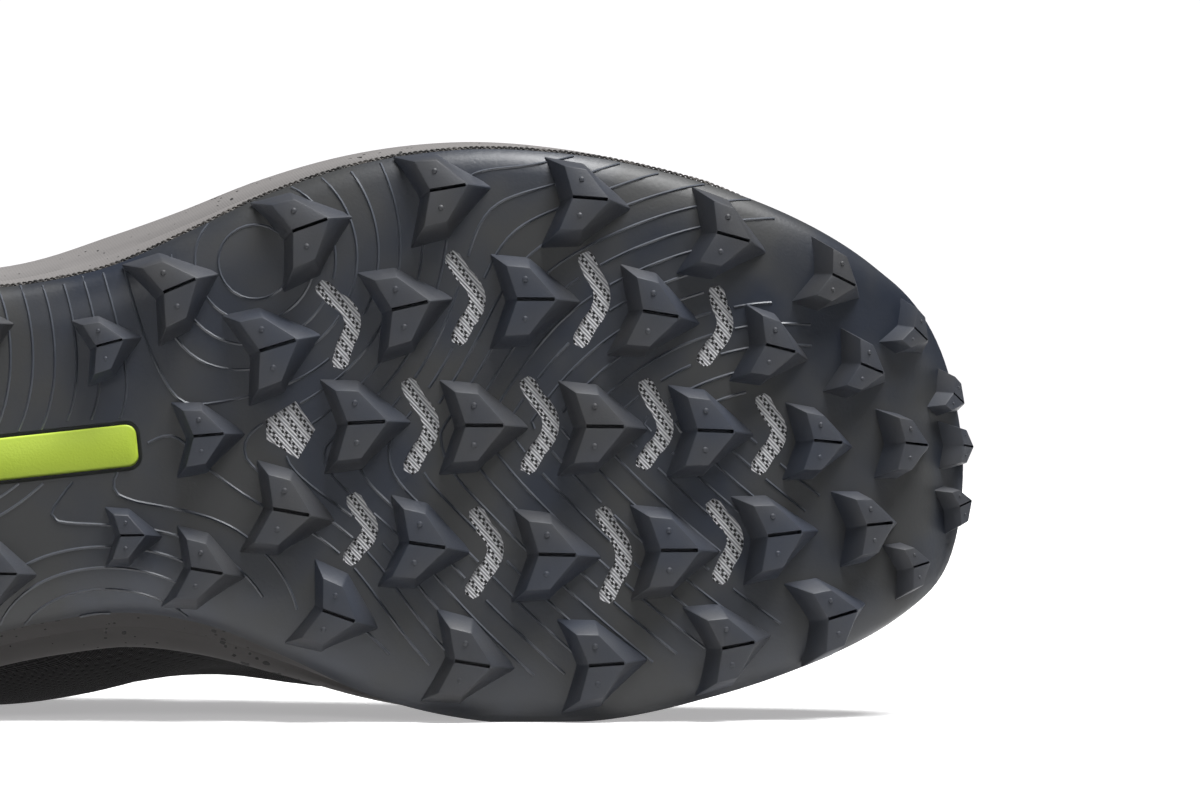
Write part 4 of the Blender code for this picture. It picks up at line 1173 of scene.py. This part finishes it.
def make_midsole():
    """Foam cup: underside on the rubber, stepped side, rounded rim and inner wall."""
    lift = np.full((ROWS, COLS, 1), RUBBER + GAP)
    pocket = np.outer(within(ROW_SHARES, PLATE_ROWS, 0.012),
                      within(np.linspace(0, 1, COLS), PLATE_COLS, 0.04))
    lift[pocket] += PLATE + GAP
    under = SHEET + SHEET_NORMALS * lift
    turns = np.append(TURNS, TURNS[0] + 2 * np.pi)
    flare = flare_at(turns)
    rim = rim_height(turns)
    plan, outward = plan_ring(turns)
    levels = np.linspace(0, 0.5, 40)
    faces = upper_curve(turns, levels)
    reach = np.einsum("tlk,tk->tl", faces[:, :, :2] - plan[:, None], outward)
    ring = np.array([under[cell] for cell in CELLS])
    ring = np.vstack([ring, ring[:1]])
    edge = np.append(RING[:, 2], RING[0, 2]) + RUBBER + 2 * GAP
    rings = [ring]
    for height, share, step, slope in SIDE:
        out = flare * share + SIDE_STEP * (step - 1) + RIM_SLOPE * slope
        rise = edge + (rim - edge) * height
        lines = zip(rise, faces[:, :, 2], reach)
        hug = np.array([np.interp(z, line, far, left=-1) for z, line, far in lines])
        rings.append(ring_at(turns, np.maximum(out, hug + LIP), rise))
    lip = rim_level(turns, 0)
    for level, depth in ((lip, 0.7), (lip * 0.7, GAP / MM), (lip * 0, GAP / MM)):
        rings.append(wall_line(turns, level, depth * MM))
    side = grid_piece("foam_cup", np.stack(rings, axis=1)[::-1])
    bottom = grid_piece("underside", under)
    top = grid_piece("footbed", patch(rings[-1][:-1]))
    return soften(weld(join("foam_cup", [side, bottom, top])), 40)


def make_sole_seam():
    """Two strands twisted along the joint of rubber and foam, sunk in but on the outside."""
    count = 2600
    turns = np.linspace(0, 2 * np.pi, count, endpoint=False)
    loop_z = np.interp(turns, *sorted_ring())
    lateral = 0.5 + 0.5 * np.tanh(4 * np.sin(turns))
    shown = lateral * np.clip((SEAM_END - share_at(turns)) / SEAM_FADE, 0, 1)
    out = SEAM_OUT[0] + (SEAM_OUT[1] - SEAM_OUT[0]) * shown
    line = ring_at(turns, out, loop_z + RUBBER + SEAM_RISE)
    ahead = np.roll(line, -1, axis=0) - np.roll(line, 1, axis=0)
    ahead /= np.linalg.norm(ahead, axis=1, keepdims=True)
    out = np.column_stack([plan_ring(turns)[1], np.zeros(count)])
    rise = np.cross(ahead, out)
    run = np.concatenate([[0], np.cumsum(np.linalg.norm(np.diff(line, axis=0), axis=1))])
    twists = round(run[-1] / SEAM_PITCH)
    twist = (run / run[-1] * twists * 2 * np.pi)[:, None]
    strands = [line + SEAM_RADIUS * (np.cos(twist + k) * out + np.sin(twist + k) * rise)
               for k in (0, np.pi)]
    return soften(tube("sole_seam", strands, SEAM_RADIUS * 0.85, closed=True), 60)


def sorted_ring():
    """Turns and heights of the rubber's edge, in rising order of the turn."""
    turns = np.mod(TURNS, 2 * np.pi)
    order = np.argsort(turns)
    turns = turns[order]
    heights = RING[:, 2][order]
    circle = 2 * np.pi
    turns = np.concatenate([turns[-1:] - circle, turns, turns[:1] + circle])
    return turns, np.concatenate([heights[-1:], heights, heights[:1]])


def make_insole():
    """Liner with a soft rim on the footbed."""
    foot = flare_at(TURNS) - inset_at(TURNS) - WALL - 2 * GAP
    top = patch(ring_at(TURNS, foot, footbed_at(TURNS) + GAP + INSOLE))
    edge = np.abs(np.linspace(-1, 1, COLS))[None, :]
    top[:, :, 2] += 0.8 * MM * (edge ** 4) - 0.8 * MM
    liner = grid_piece("insole_liner", top[:, ::-1])
    apply_modifier(liner, "SOLIDIFY", thickness=INSOLE - 1 * MM, offset=-1)
    return soften(round_edges(liner, 0.8 * MM), 50)


# ---------------------------------------------------------------- upper

# Creases of the upper: turn round the plan as a share of LENGTH and side, level, length
# along, width, depth; a minus depth is a trough
CREASES = (
    (0.66, -1, 0.52, 0.100, 0.10, -2.0), (0.70, -1, 0.60, 0.085, 0.07, 1.4),
    (0.74, -1, 0.50, 0.090, 0.08, -1.5), (0.66, 1, 0.50, 0.100, 0.10, -2.1),
    (0.71, 1, 0.58, 0.080, 0.07, 1.4), (0.75, 1, 0.48, 0.090, 0.08, -1.7),
    (0.30, -1, 0.62, 0.070, 0.12, -1.8), (0.26, -1, 0.70, 0.050, 0.08, 1.2),
    (0.30, 1, 0.60, 0.070, 0.12, -1.7), (0.12, -1, 0.66, 0.060, 0.10, -1.4),
    (0.12, 1, 0.66, 0.060, 0.10, -1.4), (0.50, -1, 0.45, 0.120, 0.16, -1.2),
    (0.50, 1, 0.42, 0.120, 0.16, -1.4),
)


def creases(turns, levels):
    """Height of the soft troughs and ridges at turns and levels, in metres."""
    share = share_at(turns)[:, None]
    side = np.where(np.mod(turns, 2 * np.pi) < np.pi, -1, 1)[:, None]
    level = np.asarray(levels)[None, :]
    height = np.zeros((len(turns), len(levels)))
    for at, which, middle, long, wide, depth in CREASES:
        slant = (share - at) + 0.25 * (level - middle) * which
        bump = np.exp(-(slant / (long * 0.45)) ** 2 - ((level - middle) / wide) ** 2)
        height += np.where(side == which, depth * MM * bump, 0)
    return height


def make_upper():
    """Knitted wall with soft creases, a padded collar and a rolled top edge."""
    turns = np.linspace(0, 2 * np.pi, 257) + 0.01
    outer_levels = np.linspace(0, 0.985, 44)
    inner_levels = np.linspace(0.985, 0, 30)
    collar = np.clip((COLLAR_FRONT - share_at(turns)) / 0.10, 0, 1)[:, None]
    outer = wall(turns, outer_levels, creases(turns, outer_levels))
    pad = np.sin(np.pi * np.clip((inner_levels - 0.5) / 0.5, 0, 1))[None, :]
    depth = WALL + COLLAR_PAD * pad * collar
    inner = wall(turns, inner_levels, -depth)
    top = wall(turns, [1.0], -WALL * 0.5)
    stages = np.concatenate([outer, top, inner], axis=1)
    upper = weld(grid_piece("upper_cloth", stages[:, ::-1]), 0.01 * MM)
    count = stages.shape[1] - 1
    lining = len(inner_levels)
    for face in upper.data.polygons:
        face.material_index = 1 if face.index % count < lining else 0
    return soften(upper, 60)


def skin(name, turns, low, high, rows=14):
    """Overlay on the upper between two levels at each turn, with a rounded edge."""
    share = np.linspace(0, 1, rows)[None, :]
    levels = np.asarray(low)[:, None] * (1 - share) + np.asarray(high)[:, None] * share
    face = np.stack([wall(turns[k:k + 1], levels[k], GAP + OVERLAY)[0]
                     for k in range(len(turns))])
    piece = grid_piece(name, face[:, ::-1])
    apply_modifier(piece, "SOLIDIFY", thickness=OVERLAY, offset=-1)
    return soften(round_edges(piece, 0.35 * MM), 40)


def span(start, count):
    """Turns from a share on the lateral side over the toe to it on the medial side."""
    return np.linspace(float(angle(start)), 2 * np.pi - float(angle(start)), count)


def make_guard():
    """Film round the toe, highest at the tip."""
    turns = span(GUARD_BACK, 90)
    low = rim_level(turns, 2 * GAP)
    rise = np.sin(np.linspace(0, np.pi, len(turns)))
    return skin("toe_guard_film", turns, low, low + GUARD_WIDTH * rise ** 0.3 + GUARD_RISE * rise)


def make_counter():
    """Film round the heel."""
    edge = float(angle(COUNTER_FRONT))
    turns = np.linspace(-edge, edge, 70)
    low = rim_level(turns, 2 * GAP)
    rise = np.sin(np.linspace(0, np.pi, len(turns)))
    high = low + COUNTER_WIDTH * rise ** 0.3 + COUNTER_RISE * rise
    return skin("heel_counter_film", turns, low, high)


def hole_turns():
    """Turns of the eyelets on the lateral side, from the top down."""
    return [float(angle(share)) for share in EYELETS]


def frame_at(turn, level, depth):
    """Point on the upper with its outward and its forward direction."""
    turns = np.array([turn])
    point = Vector(wall(turns, [level], depth)[0, 0])
    out = (Vector(wall(turns, [level], depth + 1 * MM)[0, 0]) - point).normalized()
    ahead = Vector(wall(turns + 0.01, [level], depth)[0, 0]) - point
    return point, out, (ahead - out * ahead.dot(out)).normalized()


def make_stay():
    """Film round the throat, under the eyelets."""
    turns = span(STAY_BACK, 150)
    taper = np.clip(np.minimum(np.arange(150), np.arange(149, -1, -1)) / 10, 0, 1) ** 0.5
    low = STAY_END - (STAY_END - STAY_FOOT) * (0.55 + 0.45 * taper)
    wave = 0.012 * np.cos(np.linspace(0, 22 * np.pi, 150))
    return skin("eyestay_film", turns, low + wave * taper, np.full(150, STAY_END), rows=18)


def make_eyelets():
    """Turned rims round the eyelets, on both sides of the throat."""
    rims = []
    for turn in hole_turns():
        for place in (turn, 2 * np.pi - turn):
            point, out, ahead = frame_at(place, EYELET_LEVEL, GAP + OVERLAY + 0.15 * MM)
            turned = Matrix((ahead, out.cross(ahead), out)).transposed().to_4x4()
            deselect()
            bpy.ops.mesh.primitive_torus_add(major_radius=2.5 * MM, minor_radius=0.55 * MM,
                                             major_segments=24, minor_segments=8)
            rims.append(bpy.context.object)
            rims[-1].data.transform(Matrix.Translation(point) @ turned)
            deselect()
            bpy.ops.mesh.primitive_cylinder_add(vertices=20, radius=2.2 * MM, depth=0.5 * MM)
            rims.append(bpy.context.object)
            rims[-1].data.transform(Matrix.Translation(point - out * 0.25 * MM) @ turned)
    return soften(join("eyelets", rims), 50)


def stitch_line(turns, levels, depth, gap=2.6 * MM):
    """Places of single stitches along a line on the upper, as short paths."""
    points = wall_line(turns, levels, depth)
    steps = np.linalg.norm(np.diff(points, axis=0), axis=1)
    run = np.concatenate([[0], np.cumsum(steps)])
    stitches = []
    for start in np.arange(0, run[-1] - gap, gap):
        marks = start + gap * np.array([0.08, 0.36, 0.64])
        stitches.append([tuple(np.interp(m, run, points[:, k]) for k in range(3)) for m in marks])
    return stitches


def make_stitches():
    """Seams: one row of stitches round the throat and two round the collar."""
    count = 400
    over_film = GAP + OVERLAY + 0.05 * MM
    throat = span(STAY_BACK + 0.01, count)
    paths = stitch_line(throat, np.full(count, STAY_END - 0.018), over_film)
    edge = float(angle(COLLAR_FRONT))
    collar = np.linspace(-edge, edge, count)
    for level in (0.945, 0.925):
        paths += stitch_line(collar, np.full(count, level), 0.05 * MM)
    return tube("stitches", paths, 0.28 * MM)


def tongue_rows(lift):
    """Sections of the tongue's outer face, from its top to its foot under the vamp."""
    shares = np.linspace(STAY_BACK, 0.985, 46)
    lateral = np.array([float(angle(share)) for share in shares])
    levels = np.linspace(0.80, 1.0, 6)
    left = wall(lateral, levels, lift)
    right = wall(2 * np.pi - lateral, levels, lift)
    rows = []
    for k in range(len(shares)):
        a = left[k, -1]
        b = right[k, -1]
        middle = []
        for share in np.linspace(0, 1, 15)[1:-1]:
            rise = np.linalg.norm(b - a) * 0.09 * 4 * share * (1 - share)
            middle.append(a * (1 - share) + b * share + UP * rise)
        rows.append(np.array([*left[k], *middle, *right[k][::-1]]))
    ahead = (rows[0] - rows[2]).mean(axis=0)
    ahead = ahead / np.linalg.norm(ahead)
    centre = rows[0].mean(axis=0)
    tops = []
    for t in np.sin(np.linspace(np.pi / 2, 0, 15))[:-1]:
        narrow = (1 - 0.12 * t) * (1 - 0.86 * t ** 7)
        bend = UP * TONGUE_RISE * 0.10 * t * t
        tops.append(centre + (rows[0] - centre) * narrow + ahead * TONGUE_RISE * t + bend)
    return np.stack(tops + rows)


def make_tongue():
    """Padded tongue with quilted channels and a thinner, rounded top edge."""
    outer = tongue_rows(-(WALL + 2 * GAP))
    rows, cols = outer.shape[:2]
    normals = grid_normals(outer)
    across = np.linspace(-1, 1, cols)[None, :]
    along = np.arange(rows)[:, None]
    channel = 0.35 * MM * (1 - np.abs(np.sin(along * np.pi / 6))) * (np.abs(across) < 0.62)
    start = np.clip(along / 7.0, 0, 1) ** 0.5
    depth = (TONGUE - (TONGUE - TONGUE_EDGE) * np.abs(across) ** 2) * (0.45 + 0.55 * start)
    face = outer - normals * (channel + 0.3 * MM * (1 - start))[:, :, None]
    back = outer - normals * depth[:, :, None]
    loop = np.concatenate([face, back[:, ::-1], face[:, :1]], axis=1)
    body = grid_piece("tongue_pad", loop[:, ::-1])
    caps = []
    for row, order in ((0, -1), (-1, 1)):
        caps.append(grid_piece("cap", np.stack([face[row], back[row]])[::order]))
    return soften(weld(join("tongue_pad", [body, *caps]), 0.01 * MM), 60)


def ribbon(name, path, facing):
    """Flat braid along a path, slightly crowned."""
    ahead = np.gradient(path, axis=0)
    ahead /= np.linalg.norm(ahead, axis=1, keepdims=True)
    wide = np.cross(facing, ahead)
    wide /= np.linalg.norm(wide, axis=1, keepdims=True)
    up = np.cross(ahead, wide)
    around_it = []
    for turn in np.linspace(0, 2 * np.pi, 15):
        x = math.copysign(abs(math.cos(turn)) ** 0.6, math.cos(turn)) * LACE_WIDTH / 2
        z = math.copysign(abs(math.sin(turn)) ** 0.8, math.sin(turn)) * LACE_THICK / 2
        around_it.append(path + wide * x + up * z)
    return weld(grid_piece(name, np.stack(around_it, axis=1)), 0.003 * MM)


def lace_run(turn, other, lift):
    """One crossing: out of an eyelet, over the throat and down into the next one."""
    seat = GAP + OVERLAY + LACE_THICK * 0.5
    start, out_a, _ = frame_at(turn, EYELET_LEVEL, seat)
    end, out_b, _ = frame_at(other, EYELET_LEVEL, seat)
    edge_a = Vector(wall(np.array([turn]), [0.99], seat + 0.6 * MM)[0, 0])
    edge_b = Vector(wall(np.array([other]), [0.99], seat + 0.6 * MM)[0, 0])
    top = (edge_a + edge_b) / 2 + Vector(UP) * (lift + (edge_a - edge_b).length * 0.10)
    knots = [start - out_a * 2.2 * MM, start + out_a * 0.2 * MM, edge_a, top, edge_b,
             end + out_b * 0.2 * MM, end - out_b * 2.2 * MM]
    facing = [out_a, out_a, out_a + Vector(UP), Vector(UP), out_b + Vector(UP), out_b, out_b]
    marks = np.array([0, 0.12, 0.30, 0.5, 0.70, 0.88, 1.0])
    steps = np.linspace(0, 1, 34)
    points = np.stack([smooth(marks, [k[i] for k in knots], steps) for i in range(3)], axis=1)
    facing = [way.normalized() for way in facing]
    faces = np.stack([np.interp(steps, marks, [f[i] for f in facing]) for i in range(3)], axis=1)
    return ribbon("lace", points, faces)


def make_laces():
    """Flat lace crossed through the eyelets, with its ends tucked in at the top."""
    holes = [(turn, 2 * np.pi - turn) for turn in hole_turns()]
    runs = [lace_run(*holes[-1], 0.8 * MM)]
    for (near, far), (near_next, far_next) in zip(holes, holes[1:]):
        runs.append(lace_run(near, far_next, 1.0 * MM))
        runs.append(lace_run(near_next, far, 2.6 * MM))
    return soften(join("lace_runs", runs), 60)


# ---------------------------------------------------------------- dressing

RUBBERS = {
    "sheet": moulded_finish(
        "moulded_rubber", srgb(36, 42, 54), srgb(48, 49, 50), (30, 3.0), (0.34, 0.14, 0.08),
        ramp=(0.42, 0.60), grain=0.7, depth=0.03 * MM, Specular_IOR_Level=0.55),
    "lugs": moulded_finish(
        "lug_rubber", srgb(50, 55, 66), srgb(62, 63, 66), (22, 3.0), (0.44, 0.0, 0.14),
        ramp=(0.35, 0.66), grain=0.45, depth=0.03 * MM, Specular_IOR_Level=0.5),
    # The ribs are the sheet's rubber painted lighter: painted highlight standing in for the light
    # on their tops.
    "ribs": moulded_finish(
        "rib_rubber_painted_highlight", srgb(74, 78, 86), srgb(90, 94, 102), (3.0, 2.0), (0.24, 0.14),
        Specular_IOR_Level=0.6),
    "seam": moulded_finish(
        "sole_seam_rubber", srgb(50, 49, 49), srgb(104, 100, 97), (5.0, 3.0), (0.7, 0.0),
        ramp=(0.40, 0.65)),
    "badge": moulded_finish(
        "lime_badge", srgb(204, 232, 72), srgb(216, 242, 86), (12, 1.0), (0.36, 0.0, 0.12),
        grain=0.5, depth=0.04 * MM),
}
guard_film = film_finish("guard_film_finish", srgb(30, 30, 33), 0.42)
counter_film = film_finish("counter_film_finish", srgb(32, 32, 35), 0.42)
stay_film = film_finish("stay_film_finish", srgb(34, 34, 37), 0.45)
knit = knit_finish("knitted_mesh", srgb(12, 10, 11), srgb(30, 28, 30), 2.1)
lining = knit_finish("spacer_lining", srgb(24, 24, 26), srgb(48, 48, 51), 1.5, 0.24)

finish_piece(make_sheet(), "rubber", RUBBERS["sheet"], replaces=("outsole",))
finish_piece(make_lugs(), "rubber", RUBBERS["lugs"])
finish_piece(make_ribs(), "rubber", RUBBERS["ribs"])
finish_piece(make_sole_seam(), "rubber", RUBBERS["seam"])
finish_piece(make_badge(), "badge", RUBBERS["badge"], replaces=("shank_badge",))
finish_piece(make_midsole(), "foam", foam_finish(), replaces=("midsole",))
insole = finish_piece(make_insole(), "liner", lining, replaces=("insole",))
finish_piece(make_upper(), "mesh_cloth", knit, lining, replaces=("upper",))
finish_piece(make_guard(), "guard_film", guard_film, replaces=("toe_guard",))
finish_piece(make_counter(), "counter_film", counter_film, replaces=("heel_counter",))
finish_piece(make_stay(), "stay_film", stay_film, replaces=("eyestay",))
finish_piece(make_eyelets(), "stay_film", guard_film)
finish_piece(make_stitches(), "mesh_cloth", thread_finish())
tongue = finish_piece(make_tongue(), "tongue_cloth", knit, replaces=("tongue",))
finish_piece(make_laces(), "lace_cord", lace_finish(), replaces=("laces",))
finish_piece(make_weave(), "woven_plate", plate_finish(), replaces=("forefoot_plate",))


# ---------------------------------------------------------------- studio

PIXELS_PER_MM = 5.1
DISTANCE = 1.30
CAMERA = Vector((0.078, -0.040 - DISTANCE, 0.0627))


def lamp(name, kind, place, power, **settings):
    """A lamp aimed at the shoe."""
    light = bpy.data.lights.new(name, kind)
    light.energy = power
    for key, value in settings.items():
        setattr(light, key, value)
    item = bpy.data.objects.new(name, light)
    bpy.context.scene.collection.objects.link(item)
    item.location = place
    aim = Vector((0.06, 0.0, 0.05)) - item.location
    item.rotation_euler = aim.to_track_quat("-Z", "Y").to_euler()


def studio():
    """White floor and backdrop, a soft light overhead and the camera of the photograph."""
    deselect()
    bpy.ops.mesh.primitive_plane_add(size=9, location=(0, 0, 0))
    floor = bpy.context.object
    floor.name = "floor"
    pale = Finish("pale_floor", 0.9, Base_Color=(0.9, 0.9, 0.9, 1),
                  Emission_Color=(1, 0.99, 1, 1), Emission_Strength=0.38)
    floor.data.materials.append(pale.material)
    floor.visible_diffuse = False

    deselect()
    bpy.ops.mesh.primitive_uv_sphere_add(segments=48, ring_count=24, radius=9)
    backdrop = bpy.context.object
    backdrop.name = "backdrop"
    white = Finish("white_backdrop", 1.0, Base_Color=(0, 0, 0, 1),
                   Emission_Color=(1, 0.985, 1, 1), Emission_Strength=1.05)
    backdrop.data.materials.append(white.material)
    backdrop.visible_diffuse = False
    backdrop.visible_glossy = False
    backdrop.visible_shadow = False

    world = bpy.data.worlds.new("studio")
    bpy.context.scene.world = world
    world.use_nodes = True
    sky = world.node_tree.nodes["Background"]
    sky.inputs["Color"].default_value = (1, 1, 1, 1)
    sky.inputs["Strength"].default_value = 0.10

    lamp("overhead", "SUN", (0.46, -0.18, 1.4), 5.4, angle=math.radians(34))
    lamp("front", "AREA", (-0.45, -1.3, 0.75), 2.6, size=0.4)

    lens = bpy.data.cameras.new("camera")
    camera = bpy.data.objects.new("camera", lens)
    bpy.context.scene.collection.objects.link(camera)
    camera.location = CAMERA
    camera.rotation_euler = (math.pi / 2, 0, 0)
    lens.sensor_width = 36
    lens.lens = 36 * DISTANCE / (1200 / PIXELS_PER_MM * MM)
    lens.clip_start = 0.01
    lens.clip_end = 50
    bpy.context.scene.camera = camera
    bpy.context.scene.view_settings.view_transform = "Standard"


studio()


def corners(box):
    """A box as plain lists."""
    return [[float(c) for c in corner] for corner in box]
